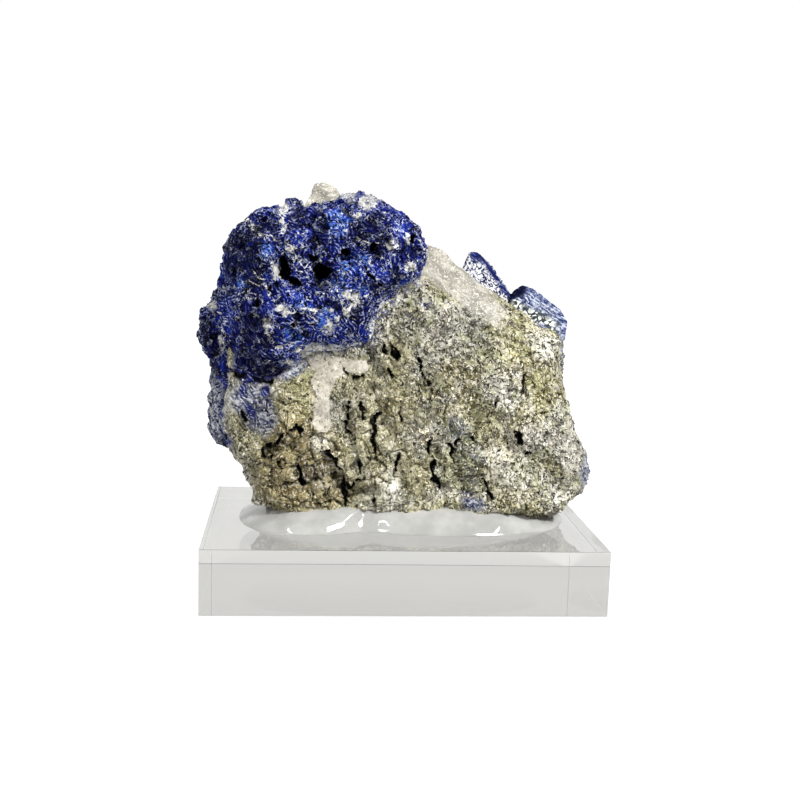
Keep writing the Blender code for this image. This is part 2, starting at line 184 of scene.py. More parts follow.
def fine_copy(name, node, other, triangles):
    """A finely sampled skin of a CAD node, coarser at the back and where the other node covers it."""
    draft = link(bpy.data.objects.new(name + "_draft", nodes[node].data.copy()))
    draft.data.materials.clear()
    remesh = draft.modifiers.new("skin", "REMESH")
    remesh.mode = "VOXEL"
    remesh.voxel_size = SKIN_PITCH
    soften = draft.modifiers.new("soft", "SMOOTH")
    soften.iterations = 4
    skin = modified(draft)
    draft.modifiers.clear()
    draft.data = skin

    co, no = arrays(skin)
    near = distance_to(other, co)
    spare = 0.02 + 0.25 * ramp(no[:, 1], -0.25, 0.35) + 0.73 * (1 - ramp(near, 0.9, 1.6))
    group = draft.vertex_groups.new(name="spare")
    for step in range(1, 11):
        low, high = step / 10 - 0.1, step / 10
        picked = np.nonzero((spare > low) & (spare <= high))[0]
        group.add(picked.tolist(), high, "REPLACE")
    count = sum(len(p.vertices) - 2 for p in skin.polygons)
    thin = draft.modifiers.new("thin", "DECIMATE")
    thin.ratio = min(1.0, triangles / count)
    thin.use_collapse_triangulate = True
    thin.vertex_group = "spare"
    mesh = modified(draft)
    bpy.data.objects.remove(draft)
    mesh.name = name
    mesh.shade_flat()
    return link(bpy.data.objects.new(name, mesh))


def distance_to(node, co):
    """Distance in millimetres from each point to the skin of a CAD node."""
    mesh = nodes[node].data
    tree = BVHTree.FromPolygons([v.co for v in mesh.vertices], [tuple(p.vertices) for p in mesh.polygons])
    return np.array([tree.find_nearest(p)[3] for p in (co * MM).tolist()]) * 1000


def arrays(mesh):
    """Points in millimetres, and normals."""
    co, no = np.zeros(len(mesh.vertices) * 3), np.zeros(len(mesh.vertices) * 3)
    mesh.vertices.foreach_get("co", co)
    mesh.vertices.foreach_get("normal", no)
    return co.reshape(-1, 3) * 1000, no.reshape(-1, 3)


def place_points(mesh, co):
    """Puts the points there, kept inside the CAD model's box."""
    co = np.clip(co * MM, np.array(cad_low) + 1e-5, np.array(cad_high) - 1e-5)
    mesh.vertices.foreach_set("co", co.ravel())
    mesh.update()


def paint(mesh, **painted):
    """Stores each mask on the points, for the material to read."""
    for name, values in painted.items():
        values = np.clip(values, 0, 1).astype(np.float32)
        mesh.attributes.new(name, "FLOAT", "POINT").data.foreach_set("value", values)


# ---- the lazurite

# Open pits on the dome, seen from the front, sunk in and painted near black as shade: x, z, half width, half
# height, depth (mm), tilt in degrees.
PITS = [
    (-31.2, 83.2, 0.75, 2.4, 6, 6), (-28.4, 79.4, 1.7, 0.8, 4, -32), (-30.2, 80.6, 0.7, 0.8, 4, 0),
    (-21.6, 82, 1.7, 1.6, 8, 25), (-22.3, 83.6, 0.8, 0.9, 6, 0), (-24.2, 85.6, 1.1, 0.75, 5, -30),
    (-16.3, 87.2, 1.25, 0.55, 4, 38), (-15.6, 86.6, 0.5, 0.6, 4, 0), (-9.4, 88.2, 0.75, 1.4, 5, 0),
    (-9.9, 81.2, 1.5, 0.4, 3, -35), (-7.6, 79.4, 1, 0.35, 2.5, -35), (0.4, 90.8, 0.55, 1.2, 3.5, 10),
    (-28.6, 69, 0.55, 0.55, 2.5, 0), (-37.5, 74.2, 0.5, 1.1, 2, 0), (-34.5, 77.8, 0.4, 0.9, 2, -20),
    (-15, 84.3, 0.6, 0.25, 2, 0),
]
SKY = [
    (-25.6, 74.7, 1.8, 1.3, -20), (-28.8, 66.5, 2, 2.8, 30), (-15.8, 83.6, 1.7, 2.4),
    (-21.8, 70.1, 1.2, 1.8, 30), (-18.2, 94.3, 2.4, 3), (-18.6, 79.1, 2.2, 1.5, -20), (-41, 78.4, 1, 1.5, 20),
    (-35.2, 86.9, 1.4, 2.6, 20), (-12.2, 78, 2, 1.2), (-11.5, 85.4, 1.8, 1.4), (-20.5, 72.5, 2, 1.4, -30),
]
# Spots painted lighter (LIGHTER_BLUE) or darker (DARKER_BLUE) on the blue: partly the blue's own tone, partly
# painted light and shade, such as the darker left flank where the dome turns away from the lamp.
LIGHTER_BLUE = SKY + [
    (-45.3, 70.2, 1.3, 5), (-5.7, 73.9, 1.8, 1.8), (-14.4, 65.3, 3, 1.8), (-10.6, 66.5, 1.8, 1.8),
    (-21.8, 64.6, 5.5, 2.8), (-27.8, 64.4, 3.6, 2.6), (-13.3, 79.4, 3.6, 5), (-27.4, 78.4, 2.4, 3.4),
    (-1.2, 80.5, 1.6, 2.2), (-47.5, 80.5, 1, 2.5), (-7.7, 83, 2.4, 1.8), (-2, 93, 3, 2.5, -40),
    (-28.4, 69, 1.8, 2), (-28.2, 77.6, 2, 2), (-14.6, 78.5, 3, 2), (-21, 68, 5, 3), (-8.5, 61.8, 3, 1.6),
]
DARKER_BLUE = [
    (-39.1, 69, 3.2, 6), (-39, 90, 3, 4), (-44.6, 84.7, 2.2, 5.5, 15), (-33.9, 57.3, 3, 3),
    (-34.7, 65.3, 1.8, 2.4), (-22.6, 92.5, 2.2, 5), (-9, 91.8, 5, 4.6), (-38.5, 84, 2.2, 9),
    (-1.6, 89, 1.6, 2.6), (-37, 57, 8, 3.6), (-18.5, 74.6, 2.6, 2), (-13, 72.8, 1.4, 2.4, -20),
    (-35.4, 93, 2, 1.8), (-40.6, 58.5, 3.6, 6.5), (-41.2, 86, 2.6, 6.5, 10), (-27.4, 95.7, 2.5, 2),
    (-50.4, 65.3, 2, 4), (-48.6, 56.5, 1.6, 7), (-38.5, 80.5, 2.2, 3), (1.5, 87.5, 2, 1.4),
]
# Pale threads of vein stuff on the blue, seen from the front: half width, then the points along it.
FILAMENTS = [
    (0.5, (-33.9, 84.5), (-33, 82.8), (-32.7, 81.1), (-33.4, 80.2)), (0.35, (-32.2, 81.3), (-31.7, 80.1)),
    (0.4, (-35.8, 78.9), (-34.5, 77), (-34.5, 76.1)), (0.22, (-40.2, 77.4), (-39.2, 76.8), (-37.7, 76.4)),
    (0.26, (-40.5, 76.2), (-39.2, 75.3), (-36.2, 75.3), (-36, 74.3)), (0.22, (-42.2, 75.9), (-40.7, 76.9)),
    (0.22, (-38.5, 82.2), (-37.5, 80.8), (-35.3, 79.9)), (0.3, (-31.6, 73.1), (-31.1, 73.8), (-30.6, 74.8)),
    (0.26, (-32.8, 74), (-31.6, 73.1), (-30.3, 72.4), (-27.9, 72.2), (-25.7, 71.8), (-23.8, 71.2),
     (-22.3, 70.1)),
    (0.42, (-35.6, 69.8), (-34.6, 68.9), (-35.1, 67.8), (-34.4, 66.3)),
    (0.3, (-36.1, 68.7), (-35.1, 68.6), (-33.9, 69.9)), (0.5, (-32.7, 63.5), (-30.2, 63.9)),
    (0.22, (-39.1, 72), (-38.4, 71.3), (-36.6, 70.6)),
    (0.24, (-29.6, 86.8), (-28.2, 85.9), (-27.2, 84.5), (-25.9, 83.1), (-25.2, 84.5)),
    (0.22, (-27.2, 84.5), (-25.8, 85.5)), (0.22, (-28.2, 85.9), (-28.9, 83.9), (-27.9, 82.6), (-26.4, 82.1)),
    (0.3, (-50.7, 72.5), (-47.8, 70.7), (-46.2, 69.6)),
    (0.24, (-13, 91.1), (-11.7, 89.9), (-9.8, 89.3), (-8.1, 89.8)), (0.22, (-12.5, 90.1), (-14.7, 89.2)),
    (0.26, (-8.3, 86.3), (-7, 85.7), (-5.7, 85.3)),
    (0.22, (-12.2, 82.5), (-10.6, 81.6), (-9, 80), (-5.8, 77.8)), (0.4, (2.7, 90.4), (4.3, 88), (6, 86.2)),
    (0.24, (-11.9, 75.8), (-9.3, 77.5), (-7.2, 78.4)),
    (0.22, (-18.6, 78.5), (-17.1, 75.6), (-16.1, 73.2), (-16, 71.6)),
    (0.26, (-37.5, 90.3), (-34.6, 90.7), (-33.1, 89.5)),
    (0.22, (-24, 82), (-25, 83.1), (-23.5, 84.5), (-22.4, 85.6)),
    (0.26, (-19.7, 79.6), (-21.7, 79.3), (-22.2, 78.4)),
    (0.26, (-5.9, 75.2), (-4.4, 73.9), (-4.8, 72.2), (-6.9, 70.7), (-5.5, 68.9)),
    (0.3, (-31.4, 89.6), (-29.7, 88.3), (-28, 87.6)), (0.22, (-36.3, 77.9), (-38, 78.8), (-39.5, 79.7)),
    (0.45, (-13.3, 74.8), (-14.6, 73.6), (-16, 72)),
    (0.2, (-29.3, 69.6), (-28.6, 69.8), (-27.9, 69.2), (-28.2, 68.4), (-29, 68.3), (-29.3, 69.2)),
]
WHITE_ON_BLUE = [
    (-31.4, 97.1, 1.6, 1.6), (-39.7, 93.8, 0.8, 0.8), (-39.1, 92.4, 0.5, 0.9), (-31.6, 93, 1, 1.8, 10),
    (-14.9, 76.4, 2, 1.4, 10), (-13.6, 74.6, 1, 1.2, -30), (-15.6, 72.4, 0.8, 1.4, 20),
    (0.2, 83.8, 1.5, 1.7, 30), (-19.8, 68.9, 1.8, 1.6), (-19.2, 73.2, 0.6, 0.6), (-17.7, 71.2, 1, 0.6),
    (-14.5, 62.4, 1.2, 0.9), (-24.5, 62.6, 3.6, 1, 8), (-17.6, 62.6, 2.4, 0.9, -6), (-13.5, 95.9, 1.4, 0.8),
    (-10.9, 99.1, 2.2, 1.4), (-4.6, 89.4, 1.6, 1.4), (-0.6, 91.2, 0.5, 1.6), (-49.3, 72.4, 1.6, 1.2, -20),
    (-35.2, 69.3, 1.8, 1.2), (-31, 72.6, 1.6, 1, -20), (-24.5, 73.4, 3, 0.5, -12), (-22, 60.8, 4, 0.8, 4),
    (-8, 67.5, 1.4, 2.2, 30), (-28.5, 58.6, 2.6, 0.9, -30), (-29, 87.6, 1.6, 0.6, -10), (-33, 82, 0.8, 2, 15),
    (-5.6, 71.5, 1.4, 3, 10), (-46.6, 62.5, 0.6, 2.2, 15), (-43.5, 55.8, 1, 0.9),
]
SWELLS_BLUE = [(-43.5, 87, 3, 6, -20, -0.9), (-47.6, 50, 2.5, 8, 0, -0.4), (-2, 95, 9, 3, -35, -0.5)]
SWELLS_ROCK = [
    (-41.5, 34, 3, 7, 35, -1.2), (42.5, 28.5, 3.5, 3, 0, -1.2), (38.5, 54.5, 3, 5, 0, 1.3),
    (40.5, 43, 3, 5, 0, 0.4),
]
# Lines on the two blades behind: edge and tip of the first, pale foot and dark corner of the second.
SHARD_EDGE = [(21.1, 86.6), (23.9, 83.5), (26.8, 79.5), (28.8, 76.8), (30.5, 75.4)]
SHARD_TIP = [(20, 86.6), (20.3, 85)]
SHARD_FOOT = [(30.5, 74.1), (33.2, 72.3), (36.3, 70.6), (39.6, 69.4), (42.5, 67.6)]
SHARD_DARK = [(31.1, 76.2), (32.7, 76.6), (33.6, 77.6)]
GLASSY = [(-27.5, 101.6, 3, 1.2), (-15.5, 101.6, 2.2, 1.8), (-9.5, 100.5, 2.4, 1.6)]


def warped(co, amount, size, seed):
    """The points moved about by noise, so that what is looked up there gets ragged edges."""
    return co + amount * np.stack([waves(co, size, seed + n, 2) for n in range(3)], 1)


def swell(co, no, places):
    """How far (mm) the outline seen from the front stands out or in, near each place: spot and amount."""
    out = sum(amount * spots(co, [spot], 0.9) for *spot, amount in places)
    return out * (1 - np.abs(no[:, 1]))


def dress_lazurite():
    obj = fine_copy("lazurite_mass", "lazurite", "matrix_rock", triangles=190000)
    mesh = obj.data
    co, no = arrays(mesh)
    near = distance_to("matrix_rock", co)
    front = ramp(-no[:, 1], -0.2, 0.3)
    above = co[:, 2] - (80 - 0.52 * (co[:, 0] - 17)) + 1.5 * waves(co, 3.0, 55, 2)
    blade = ramp(co[:, 0], 12, 16) * ramp(co[:, 1], 5, 8)
    shard = blade * ramp(above, -8, -5)
    rim = 1 - ramp(near, 0.6, 2.4)
    pale_rim = rim * ramp(co[:, 0], -33, -29) * (1 - shard)

    bent = warped(co, 0.5, 2.0, 101)
    knob, knob2, _, _ = grains(bent, 4.6, 3)
    _, _, offset, drawn = grains(bent, 2.1, 8)
    _, _, fine_offset, fine_drawn = grains(bent, 1.0, 21)
    tilt = (offset * (drawn - 0.5)).sum(1)
    fine_tilt = (fine_offset * (fine_drawn - 0.5)).sum(1)
    open_seams = ramp(waves(co, 5.0, 111, 2), -0.1, 0.35)
    rise = 0.6 * (0.5 - knob) - 0.5 * open_seams * (1 - ramp(knob2 - knob, 0, 0.1))
    rise += 1.0 * tilt + 0.3 * (drawn[:, 0] - 0.5) - 0.6 * (drawn[:, 1] < 0.08)
    rise += 0.4 * fine_tilt + 0.2 * (fine_drawn[:, 1] - 0.5)
    rise *= 1 - 0.8 * shard - 0.3 * (blade - shard)

    wander = co + 0.5 * np.stack([waves(co, 1.6, 31, 2), np.zeros(len(co)), waves(co, 1.6, 32, 2)], 1)
    pit = np.zeros(len(co))
    for x, z, wide, high, depth, tilt_by in PITS:
        within = spots(wander, [(x, z, wide, high, tilt_by)], 0.22)
        pit = np.maximum(pit, within * depth)
    facing = front * (co[:, 1] < -4)
    pit *= facing
    thread = np.full(len(co), 9.0)
    for half_width, *path in FILAMENTS:
        thread = np.minimum(thread, path_distance(wander, path) / half_width)
    thread = np.where(facing > 0.5, thread, 9.0)
    moved = co + no * (rise * (1 - 0.5 * rim) + 0.35 * rim + swell(co, no, SWELLS_BLUE))[:, None]
    moved[:, 1] += pit
    place_points(mesh, moved)

    ragged = warped(co, 1.1, 3.0, 41)
    edged = warped(co, 0.3, 1.2, 47)
    tone_and_painted_light = 0.5 * (spots(ragged, LIGHTER_BLUE, 0.6) - spots(ragged, DARKER_BLUE)) * front
    behind = 1 - front
    in_front = ramp(-co[:, 1], -8, -3)
    edge_away = np.minimum(path_distance(edged, SHARD_EDGE) + 0.5, path_distance(edged, SHARD_TIP))
    foot_away, dark_away = path_distance(edged, SHARD_FOOT), path_distance(edged, SHARD_DARK)
    paint(
        mesh,
        # hollow: painted shade, near black in the low ground between grains and in the pits.
        hollow=ramp(-rise, 0.2, 0.8) * 0.75 + ramp(pit, 0.6, 2.2),
        tone=0.5 + 0.5 * (drawn[:, 2] - 0.5) + 0.5 * waves(co, 7.0, 44, 2),
        # depth: the blue's own tone, with painted light and shade from the lighter and darker spots.
        depth=0.5 + tone_and_painted_light + 0.45 * behind * waves(co, 11.0, 91, 3),
        sky=spots(ragged, SKY, 0.6) * front + behind * ramp(waves(co, 9.0, 95, 2), 0.25, 0.6),
        white=spots(ragged, WHITE_ON_BLUE, 0.4) * in_front + 0.6 * pale_rim
        + behind * (1 - shard) * ramp(waves(co, 10.0, 97, 3), 0.18, 0.5),
        thread=thread / 4,
        glassy=spots(ragged, GLASSY, 0.4),
        pale=shard,
        frost=ramp(-ragged[:, 0], 46, 48) * ramp(-ragged[:, 2], -56, -50),
        shard_edge=shard * (1 - ramp(edge_away, 1.0, 1.4)),
        shard_slate=shard * ramp(co[:, 0], 29.6, 30.4),
        shard_foot=shard * (1 - ramp(foot_away, 1.1, 1.5)),
        shard_dark=shard * (1 - ramp(dark_away, 0.9, 1.4)),
    )
    return obj


# ---- the matrix

VEIN = [
    (-24.4, 59.8), (-24.4, 58), (-22.4, 56.8), (-23.8, 54.5), (-22.8, 50.9), (-23.3, 47), (-23.2, 43.3),
    (-21.9, 41.5), (-19.4, 41.5), (-18.1, 43.2), (-19, 47.1), (-18.8, 51.7), (-17.6, 54.9), (-15.4, 56.8),
    (-13.6, 56.3), (-9.8, 56.6), (-9.5, 59.8), (-15.4, 60.3), (-19.2, 60.8),
]
# Where the blue crystals spill over onto the matrix.
NAVY = [
    (-43.6, 60.5), (-43.4, 57.7), (-43, 55), (-42, 54.2), (-40.7, 53.1), (-37.9, 53.9), (-34.7, 53.8),
    (-32, 55.4), (-30.2, 58), (-28, 60), (-30, 64), (-44, 64),
]
SLATE = [
    (-39, 49.6, 5.5, 4.6), (-36.5, 46, 4, 5, 20), (-49.2, 46, 4, 14), (-46.8, 40, 2.4, 5, 20),
    (49.5, 31.5, 2.8, 4.6), (43.6, 61, 1.2, 6, 5), (-28.5, 58.6, 3.4, 2.6, 30), (18.1, 23.6, 3, 1.6, -15),
]
NAVY_SPOTS = [
    (-40.8, 51.9, 0.9, 1.6, -10), (-38.9, 46.9, 1.2, 2.6, 25), (-35.4, 51.8, 1.1, 1.8, -20),
    (-47, 44, 0.8, 1.2), (-49.5, 53.5, 0.8, 1.8), (-45.2, 38.4, 0.8, 1.8, 10),
]
BROWN = [(-27, 33, 11, 13, 10), (-22, 27, 9, 7)]
COARSE = [(-7.5, 38, 10.5, 18), (-32, 46, 7, 9), (7.5, 38, 2.2, 4.5), (6, 29, 3, 6), (-2, 60, 4, 4)]
# Spots painted darker (DARKER_ROCK) or lighter (LIGHTER_ROCK) on the matrix: partly its own tone, partly
# painted light and shade, such as the lightened band along the stone's foot.
DARKER_ROCK = [
    (6.1, 57.9, 2, 5, -20), (9, 52, 2.6, 4.5), (6.6, 46.5, 1.6, 3), (12.2, 38.5, 2.4, 4.5),
    (-1.5, 67, 2.5, 4), (-37.5, 44.5, 4.5, 5), (-22.5, 29.5, 3.5, 3.5), (17, 69.5, 5, 3, -30),
    (-11.5, 33, 2.5, 3.5), (2.3, 65, 2.2, 3), (17, 51, 3, 2.5), (-3, 62, 2, 3), (19.5, 48, 3, 3),
]
LIGHTER_ROCK = [
    (34, 53, 4.5, 8), (29.5, 61, 3, 2.2), (25, 36.2, 4.5, 3), (30.6, 27.1, 6, 4.5), (18.3, 36.3, 2.2, 2),
    (-11.2, 39.7, 2.5, 4), (-4.6, 29.6, 3, 5), (-12.3, 33.5, 2.2, 3.5), (-26.4, 47, 4, 7), (-6, 44.5, 4, 6),
    (-28, 24, 14, 2.5, -5), (36, 24, 7, 3), (0, 21.5, 44, 1.6), (36, 66, 4, 8), (27.5, 57, 5, 9),
    (14.6, 30, 2, 8), (14.6, 47, 2.4, 5), (28, 41, 5, 4), (8, 23.5, 10, 2), (34, 50, 5, 8), (-18, 38, 4, 4),
    (12, 37, 5, 3), (-6.5, 61.5, 2.5, 2.5), (-33, 22, 4, 2), (-29, 53, 4, 4),
]
YELLOW = [
    (34.7, 50.5, 2, 6, 5), (31, 69.5, 4, 2.5, -30), (-4, 52, 5, 9, 10), (5, 30, 2.5, 5, -20), (-26, 49, 4, 4),
    (-38, 36, 3, 4), (-2, 62, 3, 3),
]
BLUE_GREY = [(16.5, 33, 4, 9, 10), (13.5, 43, 3, 4)]
BLUE_SPECKS = [
    (18.1, 24, 3.4, 1.8, -15), (4.5, 74.7, 1.6, 1.1, -30), (1.2, 70.9, 1.6, 1, -30), (27, 69.7, 0.8, 0.8),
    (42, 61, 1.3, 6, 5), (-31, 57, 2.5, 1.5, -30),
]
WHITE_IN_MATRIX = [
    (-45.2, 55, 1.3, 4.5, 5), (-2.6, 27.5, 2.6, 5.5, 10), (30, 31, 7, 5, -20), (41, 26, 6, 4),
    (-45.5, 52, 1.2, 5.5, 8), (19, 36.3, 2.5, 2, -20), (25, 36, 3.5, 2.5), (44, 44, 2, 6),
    (34, 66, 5, 2.5, -35), (-21.2, 38.3, 2.6, 2.6), (-36, 52.5, 2, 2), (-41.5, 30, 1.5, 6, 25),
    (7.6, 73.6, 8.5, 2.6, -32), (44.5, 34.5, 3, 3), (-6.5, 50, 2.5, 1, 30), (14, 44, 3, 1.5),
    (0.5, 69.5, 2.4, 1.4),
]
GOLD = [(-3.5, 50, 4.5, 2.5), (13.5, 51.5, 6, 2), (9, 57.5, 4, 1.5), (4, 41, 2.5, 2.5), (6, 30, 2, 5)]
# Gaps between grains, seen from the front, sunk in and painted near black as shade: half width, depth, then
# the points along it.
CLEFTS = [
    (0.6, 2.6, (-19.5, 36.9), (-18.2, 34.9), (-15.9, 32.1)),
    (0.45, 2.2, (-15.9, 32.1), (-15.2, 28.2), (-12.7, 27.2)),
    (0.35, 2, (-12.7, 27.2), (-11.5, 28.9), (-8.9, 29.9)),
    (0.5, 2.5, (-14.2, 49.1), (-13.9, 47.2), (-14.5, 44.3)),
    (0.6, 3, (-14.5, 44.3), (-14.2, 41.6), (-13.6, 39.9)), (0.8, 3, (-6.6, 45.8), (-7.7, 44.8), (-7.2, 42.2)),
    (0.5, 2.5, (-7.2, 42.2), (-7.7, 39.8), (-7, 36.6), (-6.5, 35)),
    (0.45, 2.2, (-11.1, 34.9), (-11.5, 32.4), (-10.2, 30)),
    (0.45, 2, (-15.5, 29.4), (-14.6, 25.5), (-14.4, 22.9)),
    (0.5, 2.6, (-1.1, 35.7), (-1.8, 33.7), (-2, 31.9)), (0.4, 2.2, (6.7, 39.9), (7, 36.4), (8.1, 33.9)),
    (0.6, 2.6, (8.1, 33.9), (7.7, 31.6), (8.9, 29.5), (10.2, 26.9)),
    (0.7, 2.6, (-5.5, 59.1), (-4.5, 57.6), (-3.7, 56.1)), (0.9, 2.8, (-3.5, 64), (-2.6, 62), (-2.1, 60.7)),
    (0.6, 2.4, (2.3, 61.5), (3.8, 59.8), (3.8, 57.8)), (0.4, 1.8, (3.8, 57.8), (4.7, 55.8), (6.3, 54.3)),
    (0.6, 2.2, (-1.1, 65.2), (-0.2, 63.9)), (0.7, 2.4, (-7.5, 24.3), (-6.7, 22.2)),
    (0.6, 2.2, (-29, 42.3), (-27.2, 43), (-25.7, 41.5)),
    (0.8, 2.6, (-31.2, 40.1), (-32.4, 38.2), (-34, 37.3)), (0.45, 2, (-32.7, 36), (-35.9, 36)),
    (0.6, 2.4, (-31.3, 34.4), (-31, 32)), (0.5, 2.2, (-26.5, 33.5), (-26.2, 30.3), (-25.4, 28.3)),
    (0.35, 1.8, (-11.4, 48.9), (-10.8, 46.7), (-10.5, 44.7)), (0.5, 2, (14, 39.9), (12.6, 38), (11.2, 39.2)),
    (0.45, 2, (12.6, 38), (12.1, 35.9), (13.4, 34.2)), (0.4, 1.8, (24.4, 49.6), (23.2, 49.2), (22.6, 47.2)),
    (0.85, 3, (29.7, 41.6), (29.8, 39.6)), (0.55, 2, (21, 29.4), (22.3, 26.9), (23.6, 24.4)),
    (0.18, 0.8, (30.6, 56.9), (30.6, 54.2), (30.2, 51.6)), (0.5, 2, (-5.7, 63.2), (-5.2, 62.2)),
    (0.45, 2, (-1.1, 46.2), (-0.6, 44.9)), (0.55, 2.4, (-15.4, 47.6), (-15.4, 47.4)),
    (0.6, 2, (8.4, 29.2), (9, 28.8)), (0.6, 2.4, (-40.5, 44.3), (-41.5, 46.3)),
    (0.12, 0.6, (-16, 62.3), (-16.2, 60.8), (-16.4, 59), (-16.6, 57.8)),
    (0.55, 2.4, (-36.2, 54.3), (-34.2, 54.2), (-32.4, 55.6)), (0.6, 2.4, (-43.1, 55.7), (-40.9, 54.9)),
    (0.3, 1.2, (-12.8, 55.7), (-10.8, 56)), (0.35, 1.2, (-15.4, 57.2), (-14.6, 56.2)),
    (0.8, 3, (-37, 55), (-34.2, 54.1), (-32.8, 55.4)), (0.6, 2.4, (-44.6, 56.4), (-42.2, 55.4)),
    (0.6, 2, (-46.3, 38.3), (-46, 38)), (0.4, 1.5, (24.5, 52), (25.5, 51.6)),
    (0.4, 1.5, (32.4, 37), (31.6, 36.2)), (0.5, 1.6, (17.5, 40.4), (17.9, 39.6)),
]


def dress_matrix():
    obj = fine_copy("matrix_mass", "matrix_rock", "lazurite", triangles=195000)
    mesh = obj.data
    co, no = arrays(mesh)
    near = distance_to("lazurite", co)
    front = ramp(-no[:, 1], -0.3, 0.2)
    rim = 1 - ramp(near, 0.8, 3.5)
    ragged = warped(co, 1.4, 4.0, 61)

    edge = warped(co, 0.5, 2.0, 151)
    outline = path_distance(edge, VEIN + VEIN[:1])
    vein = ramp(np.where(inside(edge, VEIN), outline, -outline), -0.15, 0.2) * front * (co[:, 1] < 2)
    across = ragged[:, 0]
    face = ramp(co[:, 2] + 0.62 * (across - 8.0), 77.0, 79.5) * ramp(27.0 - across, 0, 4)
    face = np.maximum(face * ramp(across, -6, 0), ramp(co[:, 2], 97.0, 98.5))
    brown = spots(ragged, BROWN, 0.35) * front
    coarse_zone = np.maximum(brown, spots(ragged, COARSE))
    smooth = np.maximum(vein, face)

    bent = warped(co, 0.9, 2.2, 121)
    coarse, coarse2, offset, drawn = grains(bent, 3.0, 5, (1, 1, 1.25))
    fine, fine2, fine_offset, fine_drawn = grains(bent, 1.5, 14)
    lump, lump2, _, _ = grains(bent, 5.6, 23)
    tilt = (offset * (drawn - 0.5)).sum(1)
    fine_tilt = (fine_offset * (fine_drawn - 0.5)).sum(1)
    coarse_edge, fine_edge = 1.5 * (coarse2 - coarse), 0.75 * (fine2 - fine)
    rise = (0.35 + 0.65 * coarse_zone) * (1.1 * tilt + 0.7 * (drawn[:, 0] - 0.5) + 0.4 * (0.5 - coarse))
    lost = 0.5 * (drawn[:, 1] < 0.06) * ramp(coarse_edge, 0.0, 0.1)
    rise -= coarse_zone * (0.45 * (1 - ramp(coarse_edge, 0.05, 0.4)) + lost)
    fine_rise = 0.9 * fine_tilt + 0.45 * (fine_drawn[:, 0] - 0.5) - 0.45 * (fine_drawn[:, 1] < 0.08)
    rise += (1 - 0.55 * coarse_zone) * fine_rise
    rise += brown * (1.3 * (0.5 - lump) - 0.7 * (1 - ramp(lump2 - lump, 0, 0.12)))
    rise *= 1 - 0.85 * smooth
    rise += 0.22 * smooth * waves(co, 2.5, 71, 2)

    _, _, chip_offset, _ = grains(bent, 0.8, 33)
    chips = bent - chip_offset * 0.8
    cleft, gap = np.zeros(len(co)), np.ones(len(co))
    breadth = np.maximum(0.8 + 1.0 * waves(co, 2.8, 171), 0.05)
    for half_width, depth, *path in CLEFTS:
        away = 0.6 * path_distance(chips, path) + 0.4 * path_distance(bent, path)
        edge_at = half_width * breadth
        cleft = np.maximum(cleft, depth * (1 - ramp(away, 0.6 * edge_at, 0.95 * edge_at)))
        gap = np.minimum(gap, away - edge_at)
    cleft *= front * (co[:, 1] < 2)
    gap = np.where(front * (co[:, 1] < 2) > 0.3, gap, 1.0)
    moved = co + no * (rise * (1 - 0.5 * rim) + 0.3 * rim + swell(co, no, SWELLS_ROCK))[:, None]
    moved[:, 1] += cleft
    place_points(mesh, moved)

    in_front = ramp(-co[:, 1], -14, -6)
    tone_and_painted_light = 0.5 * (spots(ragged, LIGHTER_ROCK, 0.6) - spots(ragged, DARKER_ROCK, 0.6)) * front
    seam = rim * (1 - face) * ramp(co[:, 0], -34, -30)
    reach = path_distance(edge, NAVY + NAVY[:1])
    navy = ramp(np.where(inside(edge, NAVY), reach, -reach), -0.2, 0.3)
    paint(
        mesh,
        # hollow: painted shade, near black in the low ground and in the clefts.
        hollow=ramp(-rise, 0.6, 1.5) * 0.6 + ramp(cleft, 0.5, 1.6),
        # gap: how far inside a cleft, for the clefts' painted shade.
        gap=0.5 + 0.5 * gap,
        edge=np.where(coarse_zone > 0.5, coarse_edge, fine_edge),
        # depth: the matrix's own tone, with painted light and shade from the lighter and darker spots.
        depth=0.5 + tone_and_painted_light,
        tone=drawn[:, 2],
        fine_tone=fine_drawn[:, 2],
        vein=vein,
        face=face,
        brown=brown,
        crystal=coarse_zone,
        gold=spots(ragged, GOLD) * front,
        yellow=spots(ragged, YELLOW, 0.7) * front,
        blue=spots(ragged, BLUE_GREY) * in_front,
        specks=np.maximum(spots(ragged, BLUE_SPECKS), 0.8 * seam) * in_front,
        navy=np.maximum(navy, spots(edge, NAVY_SPOTS, 0.3)) * in_front,
        slate=spots(ragged, SLATE, 0.4) * ramp(-co[:, 1], -20, -10),
        white=np.maximum(spots(ragged, WHITE_IN_MATRIX, 0.6) * in_front, 0.5 * seam),
    )
    return obj


# ---- the glue

GLUE_OUTLINE = [
    (-42, 0), (-41.6, -5), (-39.8, -11), (-35.6, -16), (-29.5, -18.9), (-23, -19.6), (-16.5, -18.2),
    (-11.5, -16.2), (-7.5, -16), (-3, -17.4), (3, -18.7), (12, -19.4), (21, -18.8), (30.5, -16.6),
    (39.2, -12.3), (43.6, -5), (45, 4), (42, 13), (33.5, 20), (20, 24), (4, 25.4), (-12, 25), (-26, 22.6),
    (-36.6, 16.4), (-41, 8.4),
]
# The puddle's edge leaves the block at the first of these angles and rounds off to the second, on an arc.
GLUE_EDGE = (53.0, 6.0)
GLUE_ROUND = 15.0
GLUE_HALF_DEPTH = 18.4
# It reaches this far into the block, so that no air is seen between them.
GLUE_OVERLAP = 0.1
BLOCK_TOP = 16.5


